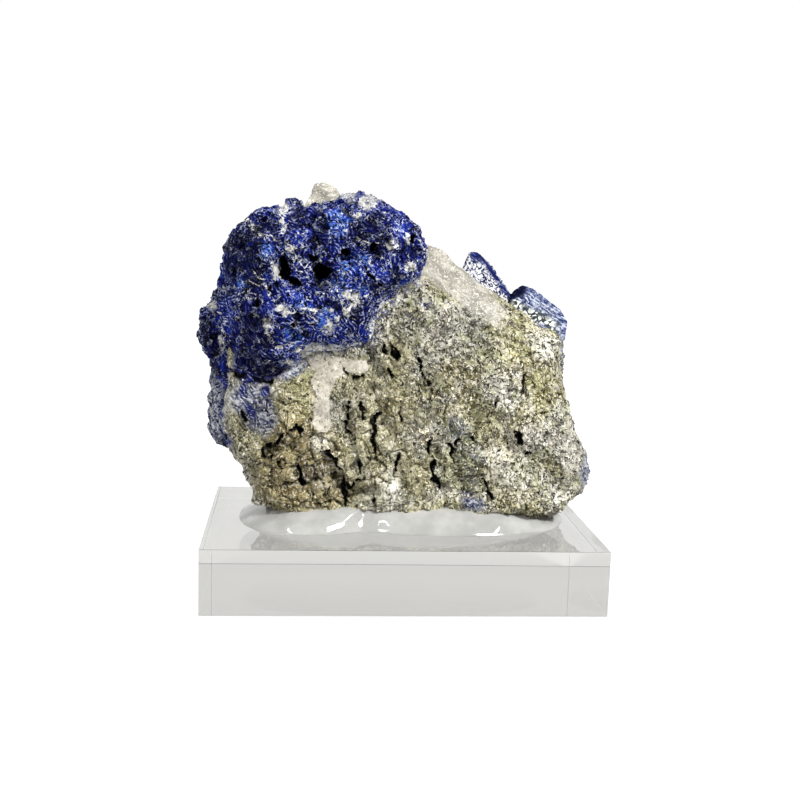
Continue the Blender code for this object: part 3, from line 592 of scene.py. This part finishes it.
def dress_glue():
    """The puddle: the outline made smooth, and drawn in step by step as it rises."""
    bm = bmesh.new()
    count, steps = 120, 16
    outline = [Vector(p) for p in GLUE_OUTLINE]
    loop = []
    for k in range(count):
        s = k * len(outline) / count
        i, t = int(s), s - int(s)
        a, b, c, d = (outline[(i + n - 1) % len(outline)] for n in range(4))
        square, cube = 2 * a - 5 * b + 4 * c - d, 3 * b - a - 3 * c + d
        loop.append(0.5 * (2 * b + (c - a) * t + square * t**2 + cube * t**3))
    middle = sum(loop, Vector((0, 0))) / count
    profile = [(-GLUE_OVERLAP, 1.0)]
    foot = math.radians(GLUE_EDGE[0])
    for k in range(steps + 1):
        angle = math.radians(GLUE_EDGE[0] + (GLUE_EDGE[1] - GLUE_EDGE[0]) * k / steps)
        inset = (math.sin(foot) - math.sin(angle)) * GLUE_ROUND
        height = (math.cos(angle) - math.cos(foot)) * GLUE_ROUND
        profile.append((height + 0.02, 0.998 - inset / GLUE_HALF_DEPTH))
    rings = []
    for height, size in profile:
        ring = [middle + (p - middle) * size for p in loop]
        rings.append([bm.verts.new(Vector((p.x, p.y, BLOCK_TOP + height)) * MM) for p in ring])
    for low, high in zip(rings, rings[1:]):
        for i in range(count):
            j = (i + 1) % count
            bm.faces.new((low[i], low[j], high[j], high[i]))
    bm.faces.new(list(reversed(rings[0])))
    bm.faces.new(rings[-1])
    bmesh.ops.recalc_face_normals(bm, faces=bm.faces)
    puddle = built(bm, "glue_puddle", "glue")
    puddle.data.shade_smooth()
    return puddle


# ---- the block


def dress_block():
    """The block, with its edges broken finely as a diamond cutter leaves them."""
    low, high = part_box("acrylic_block")
    bm = bmesh.new()
    bmesh.ops.create_cube(bm, size=1.0)
    for v in bm.verts:
        v.co = Vector(high[n] if v.co[n] > 0 else low[n] for n in range(3))
    under = [e for e in bm.edges if all(v.co.z < MM for v in e.verts)]
    bmesh.ops.bevel(bm, geom=under, offset=0.1 * MM, segments=1, affect="EDGES")
    sharp = [e for e in bm.edges if e.calc_length() > 10 * MM and any(v.co.z > 10 * MM for v in e.verts)]
    bmesh.ops.bevel(bm, geom=sharp, offset=0.06 * MM, segments=1, affect="EDGES")
    return built(bm, "display_block", "block")


# ---- materials


def rgba(*c):
    return (*c, 1.0)


class Graph:
    """A node tree, with a short name for each kind of node. All but node() and cells() give an output."""

    def __init__(self, tree):
        self.tree = tree

    def fill(self, node, inputs):
        """Sets constants on the node's own sockets, and links the rest."""
        for key, value in inputs.items():
            if isinstance(value, bpy.types.NodeSocket):
                self.tree.links.new(value, node.inputs[key])
            else:
                node.inputs[key].default_value = value

    def node(self, kind, inputs, **settings):
        node = self.tree.nodes.new("ShaderNode" + kind)
        for key, value in settings.items():
            setattr(node, key, value)
        self.fill(node, inputs)
        return node

    def put(self, kind, inputs, output=0, **settings):
        return self.node(kind, inputs, **settings).outputs[output]

    def calc(self, operation, a, b=0.0, c=0.0, clamp=False):
        return self.put("Math", {0: a, 1: b, 2: c}, operation=operation, use_clamp=clamp)

    def times(self, a, b):
        return self.calc("MULTIPLY", a, b)

    def vector(self, operation, a, b, c=(0, 0, 0), output=0):
        return self.put("VectorMath", {0: a, 1: b, 2: c}, output, operation=operation)

    def total(self, *weighted):
        """The sum of (value, weight) pairs."""
        result = 0.0
        for value, weight in weighted:
            result = self.calc("MULTIPLY_ADD", value, weight, result)
        return result

    def linear(self, value, low, high, to_low=0.0, to_high=1.0, kind="LINEAR"):
        ends = {"Value": value, "From Min": low, "From Max": high, "To Min": to_low, "To Max": to_high}
        return self.put("MapRange", ends, interpolation_type=kind)

    def spread(self, *ends):
        return self.linear(*ends, kind="SMOOTHSTEP")

    def mix(self, share, a, b, blend="MIX"):
        """Two colours, each a socket or (red, green, blue), in the share of the second."""
        a, b = (rgba(*c) if isinstance(c, tuple) else c for c in (a, b))
        return self.put("Mix", {0: share, 6: a, 7: b}, 2, data_type="RGBA", blend_type=blend)

    def scaled(self, colour, factor):
        return self.put("VectorMath", {0: colour, "Scale": factor}, operation="SCALE")

    def colours(self, value, stops):
        node = self.node("ValToRGB", {0: value})
        ends = node.color_ramp.elements
        while len(ends) < len(stops):
            ends.new(0.5)
        for element, (place, colour) in zip(ends, stops):
            element.position = place
            element.color = rgba(*colour)
        return node.outputs[0]

    def masks(self, *names):
        """What paint() stored under these names."""
        return [self.put("Attribute", {}, "Fac", attribute_name=name) for name in names]

    def mask(self, name):
        return self.masks(name)[0]

    def millimetres(self):
        spot = self.put("TexCoord", {}, "Object")
        return self.put("Mapping", {"Vector": spot, "Scale": (1000, 1000, 1000)})

    def shifted(self, where, step):
        return self.vector("ADD", where, (37.1 * step, 11.7 * step, 5.3 * step))

    def noise(self, where, size, detail=3.0, roughness=0.55, distortion=0.0, output=0):
        inputs = {"Vector": where, "Scale": 1 / size, "Detail": detail}
        return self.put("TexNoise", {**inputs, "Roughness": roughness, "Distortion": distortion}, output)

    def bent_space(self, at, size, amount):
        push = self.vector("SUBTRACT", self.noise(at, size, 2.0, output="Color"), (0.5, 0.5, 0.5))
        return self.vector("MULTIPLY_ADD", push, (amount,) * 3, at)

    def cells(self, where, size, feature="F1"):
        return self.node("TexVoronoi", {"Vector": where, "Scale": 1 / size}, feature=feature)

    def facets(self, where, size):
        """Broken crystal faces, each cell a tilted, stepped plane: its height and its own number."""
        cell = self.cells(where, size)
        away = self.vector("SUBTRACT", where, cell.outputs["Position"])
        lean = self.vector("SUBTRACT", cell.outputs["Color"], (0.5, 0.5, 0.5))
        drawn = self.put("SeparateColor", {0: cell.outputs["Color"]}, 1)
        slope = self.vector("DOT_PRODUCT", away, lean, output="Value")
        return self.calc("MULTIPLY_ADD", slope, 1.2 / size, drawn), drawn

    def threads(self, where, size, width, distortion=0.0):
        """Thin wandering lines: where a noise crosses its middle value."""
        wave = self.noise(where, size, 1.0, 0.5, distortion)
        away = self.calc("ABSOLUTE", self.calc("SUBTRACT", wave, 0.5))
        return self.linear(away, 0.6 * width, width, 1.0, 0.0)

    def strokes(self, where, domain, apart, along, share=0.5, swing=2.0):
        """Short thin lines that run one way within each domain.

        How far apart and how long they are, what share is drawn, and how far they turn.
        """
        drawn = self.cells(where, domain).outputs["Color"]
        turn = self.vector("MULTIPLY_ADD", drawn, (0.6, swing, 0.6), (-0.3, 0.87 - swing / 2, -0.3))
        turned = self.put("VectorRotate", {"Vector": where, "Rotation": turn}, rotation_type="EULER_XYZ")
        inputs = {"Vector": turned, "Scale": 0.314 / apart, "Detail Scale": 1.2 * apart}
        wave = self.put("TexWave", {**inputs, "Distortion": 3.0, "Detail": 1.0}, "Fac")
        broken = self.vector("MULTIPLY", turned, (1.2 / apart, 1 / along, 1 / along))
        kept = self.linear(self.noise(broken, 1.0, 1.0), 0.57 - 0.12 * share, 0.61 - 0.12 * share)
        return self.times(self.linear(wave, 0.7, 0.82), kept)

    def bump(self, height, strength=1.0):
        return self.put("Bump", {"Height": height, "Strength": strength, "Distance": 0.001})


def new_material(name):
    material = bpy.data.materials.new(name)
    material.use_nodes = True
    return material, Graph(material.node_tree), material.node_tree.nodes["Principled BSDF"]


def slaty(g, at):
    """Pale blue-grey rock, mottled with navy and white."""
    patch = g.noise(g.shifted(at, 16), 1.3, 3, 0.7)
    colour = g.colours(patch, [
        (0.4, (0.004, 0.006, 0.045)), (0.45, (0.04, 0.048, 0.095)), (0.52, (0.135, 0.145, 0.175)),
        (0.6, (0.33, 0.335, 0.35)),
    ])
    return g.mix(g.strokes(g.shifted(at, 18), 2.5, 0.8, 1.3, 0.5, 2.8), colour, (0.4, 0.41, 0.42))


def lazurite_material():
    material, g, shader = new_material("lazurite_blue")
    at = g.millimetres()
    bent = g.bent_space(at, 0.9, 0.8)
    curved = g.bent_space(at, 2.2, 1.5)
    tone, hollow, sky, depth = g.masks("tone", "hollow", "sky", "depth")
    white, pale, glassy, frost = g.masks("white", "pale", "glassy", "frost")

    big_height, big_drawn = g.facets(bent, 1.6)
    small_height, small_drawn = g.facets(g.shifted(bent, 1), 0.6)
    dust = g.noise(at, 0.3, 2, 0.6)
    broad = g.noise(at, 2.4, 2)
    mottled = g.total((tone, 0.24), (big_drawn, 0.16), (broad, 0.38), (depth, 0.22))
    colour = g.colours(mottled, [
        (0.3, (0.0005, 0.0008, 0.013)), (0.42, (0.0009, 0.0017, 0.036)), (0.52, (0.0016, 0.0038, 0.072)),
        (0.62, (0.0035, 0.009, 0.12)), (0.76, (0.008, 0.026, 0.2)),
    ])
    flecks = g.linear(g.noise(at, 1, 2, 0.6), 0.46, 0.56)
    colour = g.mix(g.times(sky, flecks), colour, (0.025, 0.075, 0.27))
    shown = g.linear(g.total((g.noise(at, 2.2, 2), 0.5), (depth, 0.5)), 0.34, 0.56, 0.15, 0.9)
    short = g.times(g.strokes(curved, 5, 0.85, 2, 1.1, 2.2), shown)
    stroke_colour = g.mix(
        g.linear(g.noise(g.shifted(at, 5), 1.4, 1), 0.38, 0.62), (0.02, 0.034, 0.15), (0.24, 0.27, 0.41),
    )
    colour = g.mix(short, colour, stroke_colour)
    gaps = g.times(g.threads(g.shifted(at, 3), 1.3, 0.06), g.linear(g.noise(at, 1.4, 1), 0.4, 0.52))
    colour = g.mix(gaps, colour, (0.0003, 0.0003, 0.001))
    lace = g.calc("MAXIMUM", g.threads(at, 1.8, 0.038, 0.5), g.threads(g.shifted(at, 2), 1.1, 0.042))
    patchy = g.linear(g.noise(g.shifted(at, 4), 1.8, 2, 0.6), 0.51, 0.6)
    lace = g.times(lace, g.calc("MAXIMUM", patchy, g.times(white, 1.3), clamp=True))
    lace = g.times(lace, g.linear(depth, 0, 0.5, 0.5, 1))
    lace_colour = g.mix(g.linear(small_drawn, 0.2, 0.8), (0.1, 0.13, 0.26), (0.42, 0.43, 0.46))
    colour = g.mix(lace, colour, lace_colour)
    chalk = g.linear(g.total((g.noise(at, 1.2, 3, 0.7), 1), (white, 0.24)), 0.67, 0.7)
    colour = g.mix(chalk, colour, g.mix(small_drawn, (0.22, 0.22, 0.21), (0.52, 0.51, 0.48)))
    colour = g.mix(frost, colour, slaty(g, at))
    uneven = g.linear(g.noise(at, 0.6, 1), 0.3, 0.7, -0.5, 0.5)
    line = g.linear(g.calc("MULTIPLY_ADD", g.mask("thread"), 4, uneven), 0.45, 0.75, 1, 0)
    line = g.times(line, g.linear(g.noise(g.shifted(at, 10), 0.9, 1), 0.36, 0.46, 0.25, 1))
    colour = g.mix(line, colour, (0.44, 0.43, 0.4))
    # Brighter or darker by the depth mask: the blue's own tone and painted light and shade.
    colour = g.scaled(colour, g.linear(depth, 0, 1, 0.72, 1.18))
    grey = g.mix(g.linear(dust, 0.42, 0.58), (0.05, 0.055, 0.065), (0.36, 0.36, 0.36))
    colour = g.mix(glassy, colour, grey)
    worms = g.threads(at, 2.2, 0.075, 2)
    shard = g.mix(g.linear(dust, 0.35, 0.6), (0.26, 0.27, 0.3), (0.48, 0.48, 0.49))
    shard = g.mix(worms, shard, (0.003, 0.006, 0.035))
    banded = g.strokes(bent, 12, 0.9, 2.6, 0.6, 0.5)
    slate = g.colours(g.noise(at, 1.4, 3, 0.65), [
        (0.36, (0.008, 0.014, 0.055)), (0.46, (0.045, 0.06, 0.13)), (0.54, (0.12, 0.14, 0.22)),
        (0.64, (0.3, 0.32, 0.37)),
    ])
    slate = g.mix(g.strokes(g.shifted(bent, 22), 6, 0.85, 2.4, 0.9, 1.2), slate, (0.01, 0.017, 0.06))
    slate = g.mix(banded, slate, (0.36, 0.38, 0.43))
    shard = g.mix(g.mask("shard_slate"), shard, slate)
    foot = g.mix(g.linear(broad, 0.42, 0.56), (0.2, 0.21, 0.18), (0.52, 0.53, 0.5))
    foot = g.mix(g.threads(g.shifted(at, 7), 1.6, 0.08), foot, (0.02, 0.025, 0.03))
    shard = g.mix(g.mask("shard_foot"), shard, foot)
    blue_edge = g.mix(banded, (0.003, 0.006, 0.05), (0.05, 0.07, 0.19))
    shard = g.mix(g.mask("shard_edge"), shard, blue_edge)
    shard = g.mix(g.mask("shard_dark"), shard, (0.001, 0.0015, 0.012))
    colour = g.mix(pale, colour, shard)
    # Painted shade: the low ground and the pits turn near black.
    colour = g.mix(g.times(hollow, 0.97), colour, (0.0004, 0.0004, 0.001))
    height = g.total((big_height, 0.22), (small_height, 0.06), (lace, 0.08), (line, 0.12))
    g.fill(shader, {
        "Base Color": colour,
        "Roughness": g.spread(small_drawn, 0, 1, 0.22, 0.65),
        "Specular IOR Level": 0.03,
        "Normal": g.bump(height),
    })
    return material


def matrix_material():
    material, g, shader = new_material("marble_and_diopside")
    at = g.millimetres()
    bent = g.bent_space(at, 1, 1.1)
    tone, fine_tone, hollow, depth, crystal = g.masks("tone", "fine_tone", "hollow", "depth", "crystal")
    vein, face, brown, yellow, blue = g.masks("vein", "face", "brown", "yellow", "blue")
    white, specks, gold = g.masks("white", "specks", "gold")

    big_height, big_drawn = g.facets(bent, 1.3)
    small_height, small_drawn = g.facets(g.shifted(bent, 1), 0.65)
    dust = g.noise(at, 0.3, 2, 0.6)
    cloud = g.noise(at, 1.1, 4, 0.65)
    drift = g.noise(at, 12, 2, 0.5)
    leaning = g.put("Mapping", {"Vector": at, "Rotation": (0.3, -0.7, 0), "Scale": (1.25, 1, 0.62)})
    broken = g.bent_space(leaning, 0.5, 0.5)
    soft = g.linear(g.noise(g.shifted(at, 20), 3, 3, 0.6), 0.51, 0.57)
    soft = g.calc("SUBTRACT", soft, crystal, clamp=True)
    chalky = g.mix(
        g.linear(g.noise(g.shifted(at, 21), 7, 1), 0.44, 0.56), (0.3, 0.31, 0.165), (0.43, 0.4, 0.345),
    )
    flake_drawn = g.put("SeparateColor", {0: g.cells(broken, 0.85).outputs["Color"]})
    fine_shade = g.total(
        (fine_tone, 0.1), (big_drawn, 0.18), (flake_drawn, 0.24), (dust, 0.1), (cloud, 0.36), (white, 0.12),
    )
    coarse_shade = g.total((tone, 0.3), (small_drawn, 0.1), (dust, 0.14), (cloud, 0.46), (white, 0.12))
    shade = g.put("Mix", {0: crystal, 2: fine_shade, 3: coarse_shade})
    shade = g.calc("MULTIPLY_ADD", shade, 1.25, -0.125)
    olive = g.colours(shade, [
        (0.2, (0.012, 0.01, 0.004)), (0.32, (0.065, 0.057, 0.022)), (0.46, (0.165, 0.15, 0.068)),
        (0.6, (0.27, 0.255, 0.145)), (0.78, (0.44, 0.425, 0.33)),
    ])
    browns = g.colours(shade, [
        (0.2, (0.01, 0.006, 0.002)), (0.32, (0.05, 0.034, 0.009)), (0.48, (0.15, 0.115, 0.036)),
        (0.62, (0.25, 0.21, 0.088)), (0.8, (0.42, 0.38, 0.25)),
    ])
    greys = g.colours(shade, [
        (0.2, (0.014, 0.014, 0.012)), (0.32, (0.082, 0.079, 0.065)), (0.46, (0.22, 0.21, 0.175)),
        (0.6, (0.37, 0.355, 0.3)), (0.78, (0.56, 0.54, 0.475)),
    ])
    dusty = g.linear(g.total((drift, 1), (cloud, 0.5)), 0.7, 0.84)
    colour = g.mix(dusty, olive, greys)
    colour = g.mix(brown, colour, browns)
    grain_tone = g.linear(g.total((tone, 0.5), (cloud, 0.5)), 0.28, 0.72)
    grain = g.mix(grain_tone, (0.115, 0.102, 0.04), (0.235, 0.22, 0.125))
    grain = g.mix(brown, grain, g.mix(grain_tone, (0.092, 0.064, 0.017), (0.235, 0.19, 0.083)))
    colour = g.mix(g.times(crystal, 0.75), colour, grain)
    colour = g.mix(g.times(white, g.linear(cloud, 0.42, 0.5, 0.35, 1)), colour, greys)
    colour = g.mix(g.times(soft, 0.5), colour, chalky)
    colour = g.mix(g.times(yellow, 0.4), colour, g.mix(1, colour, (1, 0.97, 0.68), "MULTIPLY"))
    bluish = g.mix(1, colour, (0.28, 0.31, 0.4), "MULTIPLY")
    colour = g.mix(g.times(blue, g.linear(cloud, 0.4, 0.52, 0.3, 1)), colour, bluish)
    sharp_specks = g.linear(g.noise(at, 0.9, 3, 0.65), 0.51, 0.54)
    navy = g.mix(small_drawn, (0.004, 0.007, 0.07), (0.03, 0.055, 0.28))
    colour = g.mix(g.times(specks, sharp_specks), colour, navy)
    greyer = g.mix(g.spread(g.noise(at, 5, 3), 0.4, 0.6), (0.2, 0.19, 0.16), (0.37, 0.35, 0.3))
    mottle = g.linear(g.total((dust, 0.6), (cloud, 0.4)), 0.42, 0.52, 1, 0)
    greyer = g.mix(g.times(mottle, 0.75), greyer, (0.12, 0.115, 0.095))
    greyer = g.mix(
        g.times(g.strokes(g.shifted(bent, 9), 2.4, 0.9, 1.3, 0.5, 3), 0.7), greyer, (0.5, 0.48, 0.43),
    )
    colour = g.mix(face, colour, greyer)
    marble = g.mix(g.linear(cloud, 0.42, 0.58), (0.3, 0.275, 0.225), (0.42, 0.395, 0.335))
    dots = g.linear(g.noise(g.shifted(at, 5), 0.9, 2), 0.34, 0.38, 1, 0)
    marble = g.mix(dots, marble, (0.1, 0.085, 0.05))
    colour = g.mix(vein, colour, marble)
    bare = g.calc("SUBTRACT", 1, g.times(g.calc("MAXIMUM", vein, face), 0.8))
    wavering = g.calc("MULTIPLY_ADD", g.noise(at, 0.7, 2), 0.5, -0.25)
    from_edge = g.calc("ADD", g.mask("edge"), wavering)
    some = g.linear(g.noise(g.shifted(at, 8), 1.6, 1), 0.44, 0.54)
    rims = g.linear(g.calc("ABSOLUTE", g.calc("SUBTRACT", from_edge, 0.3)), 0.05, 0.14, 0.55, 0)
    scratched = g.linear(g.noise(g.shifted(at, 4), 1.8, 2), 0.4, 0.52, 0.15, 1)
    scratched = g.times(g.strokes(bent, 1.7, 0.8, 1.4, 0.8, 3), scratched)
    frosted = g.linear(g.noise(g.shifted(at, 24), 0.7, 3, 0.7), 0.55, 0.6, 0, 0.75)
    scratched = g.times(scratched, g.linear(crystal, 0.2, 0.9, 1, 0.7))
    scratched = g.calc("MAXIMUM", scratched, g.times(frosted, crystal))
    light = g.calc("MAXIMUM", g.times(rims, g.times(crystal, some)), scratched)
    pale_colour = g.mix(dusty, (0.43, 0.405, 0.3), (0.56, 0.54, 0.47))
    colour = g.mix(g.times(light, bare), colour, pale_colour)
    dark = g.times(
        g.strokes(g.shifted(bent, 3), 1.9, 0.9, 1.3, 0.7, 3), g.linear(g.noise(at, 1.5, 1), 0.42, 0.52),
    )
    dark = g.times(dark, g.linear(crystal, 0.2, 0.9, 1, 0.6))
    dark = g.calc("MAXIMUM", dark, g.linear(g.noise(g.shifted(at, 12), 1.2, 1), 0.3, 0.34, 1, 0))
    crack = g.times(g.linear(from_edge, 0.02, 0.12, 1, 0), g.times(crystal, some))
    colour = g.mix(g.times(g.calc("MAXIMUM", dark, crack), bare), colour, (0.012, 0.01, 0.004))
    seams = g.linear(g.cells(broken, 0.85, "DISTANCE_TO_EDGE").outputs["Distance"], 0.06, 0.15, 1, 0)
    seams = g.times(seams, g.linear(g.noise(g.shifted(at, 14), 1.3, 2), 0.47, 0.53))
    seams = g.times(g.times(seams, bare), g.linear(crystal, 0.2, 0.9, 0.9, 0.4))
    seams = g.times(seams, g.linear(soft, 0, 1, 1, 0.45))
    colour = g.mix(seams, colour, (0.014, 0.012, 0.005))
    colour = g.mix(g.mask("slate"), colour, slaty(g, at))
    deep = g.mix(g.linear(cloud, 0.4, 0.6), (0.0005, 0.0008, 0.022), (0.003, 0.007, 0.11))
    deep = g.mix(g.strokes(g.shifted(at, 19), 5, 0.8, 2.2, 0.8, 1.6), deep, (0.16, 0.18, 0.32))
    colour = g.mix(g.mask("navy"), colour, deep)
    # Brighter or darker by the depth mask: the matrix's own tone and painted light and shade.
    colour = g.scaled(colour, g.linear(depth, 0, 1, 0.56, 1.2))
    # Painted shade: near black inside the clefts and in the low ground.
    nibbled = g.linear(g.noise(at, 0.8, 2), 0.3, 0.7, -0.1, 0.1)
    cleft_shade = g.linear(g.calc("ADD", g.mask("gap"), nibbled), 0.46, 0.52, 1, 0)
    colour = g.mix(g.calc("MAXIMUM", cleft_shade, g.times(hollow, 0.9)), colour, (0.002, 0.0018, 0.001))
    gilded = g.linear(g.total((g.noise(at, 0.7, 1), 1), (gold, 0.09)), 0.715, 0.73)
    colour = g.mix(gilded, colour, g.mix(small_drawn, (0.42, 0.3, 0.11), (0.85, 0.8, 0.66)))
    height = g.total((big_height, 0.2), (small_height, 0.09), (light, 0.06))
    g.fill(shader, {
        "Base Color": colour,
        "Metallic": g.times(gilded, 0.6),
        "Roughness": g.spread(small_drawn, 0, 1, 0.25, 0.7),
        "Specular IOR Level": 0.2,
        "Normal": g.bump(g.times(height, bare)),
    })
    return material


def acrylic_material():
    material, g, shader = new_material("clear_acrylic")
    at = g.millimetres()
    streak = g.put("Mapping", {"Vector": at, "Scale": (0.05, 1.5, 1.5), "Rotation": (0.1, 0.2, 0.3)})
    g.fill(shader, {
        "Base Color": g.mix(g.noise(at, 30, 2), (0.6, 0.595, 0.57), (0.625, 0.62, 0.6)),
        "Roughness": g.spread(g.noise(streak, 2, 3), 0.62, 0.75, 0, 0.05),
        "Transmission Weight": 1,
        "IOR": 1.49,
    })
    return material


def glue_material():
    material, g, shader = new_material("clear_glue")
    at = g.millimetres()
    milky = g.noise(at, 7, 3)
    g.fill(shader, {
        "Base Color": g.mix(milky, (0.6, 0.6, 0.57), (0.64, 0.64, 0.61)),
        "Transmission Weight": g.spread(milky, 0.3, 0.7, 0.55, 0.67),
        "Roughness": 0.03,
        "IOR": 1.48,
        "Normal": g.bump(g.noise(at, 9, 2), 0.05),
    })
    return material


def dressed(obj, material, node):
    obj.data.materials.clear()
    obj.data.materials.append(material)
    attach(obj, "root")
    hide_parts(node)


dressed(dress_lazurite(), lazurite_material(), "lazurite")
dressed(dress_matrix(), matrix_material(), "matrix_rock")
dressed(dress_glue(), glue_material(), "adhesive_bed")
dressed(dress_block(), acrylic_material(), "acrylic_block")


# ---- floor, light and camera


FLOOR_HEIGHT, FLOOR_SIZE = -0.0003, 3.0
LAMP_TARGET = Vector((0, 0, 0.05))
# Soft lamps: name, place, power in watts, size.
LAMPS = [
    ("key", (0.38, -0.5, 0.66), 14, 0.16), ("side", (-0.45, -0.45, 0.55), 3, 0.2),
    ("top", (0.0, 0.25, 0.8), 3, 0.3),
]
# Narrow lamps overhead, each seen only as a thin bright arc in the swellings of the glue: name and place.
STRIPS = [("left_strip", (-0.24, -0.17, 0.62)), ("right_strip", (0.3, -0.17, 0.62))]
STRIP_POWER, STRIP_WIDTH, STRIP_LENGTH = 1.2, 0.005, 0.3
# The photo's camera, fitted to the block's corners: its turn, its tilt down and its roll in degrees.
CAMERA_ANGLES = (4.96283, 8.88326, 1.78195)
CAMERA_PLACE = (-0.02685, -0.30672, 0.09627)
CAMERA_LENS = 53.008


def build_floor():
    """A white light table, so that nothing under the specimen is in shadow."""
    bm = bmesh.new()
    bmesh.ops.create_grid(bm, x_segments=1, y_segments=1, size=FLOOR_SIZE)
    floor = built(bm, "floor", "floor")
    floor.location.z = FLOOR_HEIGHT
    material, g, shader = new_material("floor_white")
    g.fill(shader, {
        "Base Color": rgba(0.15, 0.15, 0.15),
        "Roughness": 0.9,
        "Specular IOR Level": 0.0,
        "Emission Color": rgba(1, 1, 1),
        "Emission Strength": 1.0,
    })
    floor.data.materials.append(material)


def area_light(name, place, power, size):
    data = bpy.data.lights.new(name, "AREA")
    data.energy, data.size = power, size
    light = link(bpy.data.objects.new(name, data))
    light.location = place
    return light


def build_light():
    """A white surround at eye level that fades to a dimmer ceiling, and lamps above."""
    world = bpy.data.worlds.new("studio")
    bpy.context.scene.world = world
    world.use_nodes = True
    g = Graph(world.node_tree)
    height = g.put("SeparateXYZ", {0: g.put("TexCoord", {}, "Generated")}, "Z")
    background = {"Color": rgba(1, 1, 1), "Strength": g.spread(height, 0.3, 0.55, 1.02, 0.12)}
    g.fill(world.node_tree.nodes["Background"], background)
    for name, place, power, size in LAMPS:
        light = area_light(name, place, power, size)
        light.rotation_euler = (LAMP_TARGET - Vector(place)).to_track_quat("-Z", "Y").to_euler()
    for name, place in STRIPS:
        light = area_light(name, place, STRIP_POWER, STRIP_WIDTH)
        light.data.shape, light.data.size_y = "RECTANGLE", STRIP_LENGTH


def build_camera():
    yaw, pitch, roll = (math.radians(a) for a in CAMERA_ANGLES)
    ahead = Vector((math.sin(yaw) * math.cos(pitch), math.cos(yaw) * math.cos(pitch), -math.sin(pitch)))
    level = Vector((math.cos(yaw), -math.sin(yaw), 0))
    right = level * math.cos(roll) + level.cross(ahead) * math.sin(roll)
    up = level.cross(ahead) * math.cos(roll) - level * math.sin(roll)
    data = bpy.data.cameras.new("camera")
    data.lens = CAMERA_LENS
    data.clip_start = 0.01
    camera = link(bpy.data.objects.new("camera", data))
    turn = Matrix((right, up, -ahead)).transposed().to_4x4()
    camera.matrix_world = Matrix.Translation(CAMERA_PLACE) @ turn
    bpy.context.scene.camera = camera


build_floor()
build_light()
build_camera()
bpy.context.scene.view_settings.view_transform = "Standard"
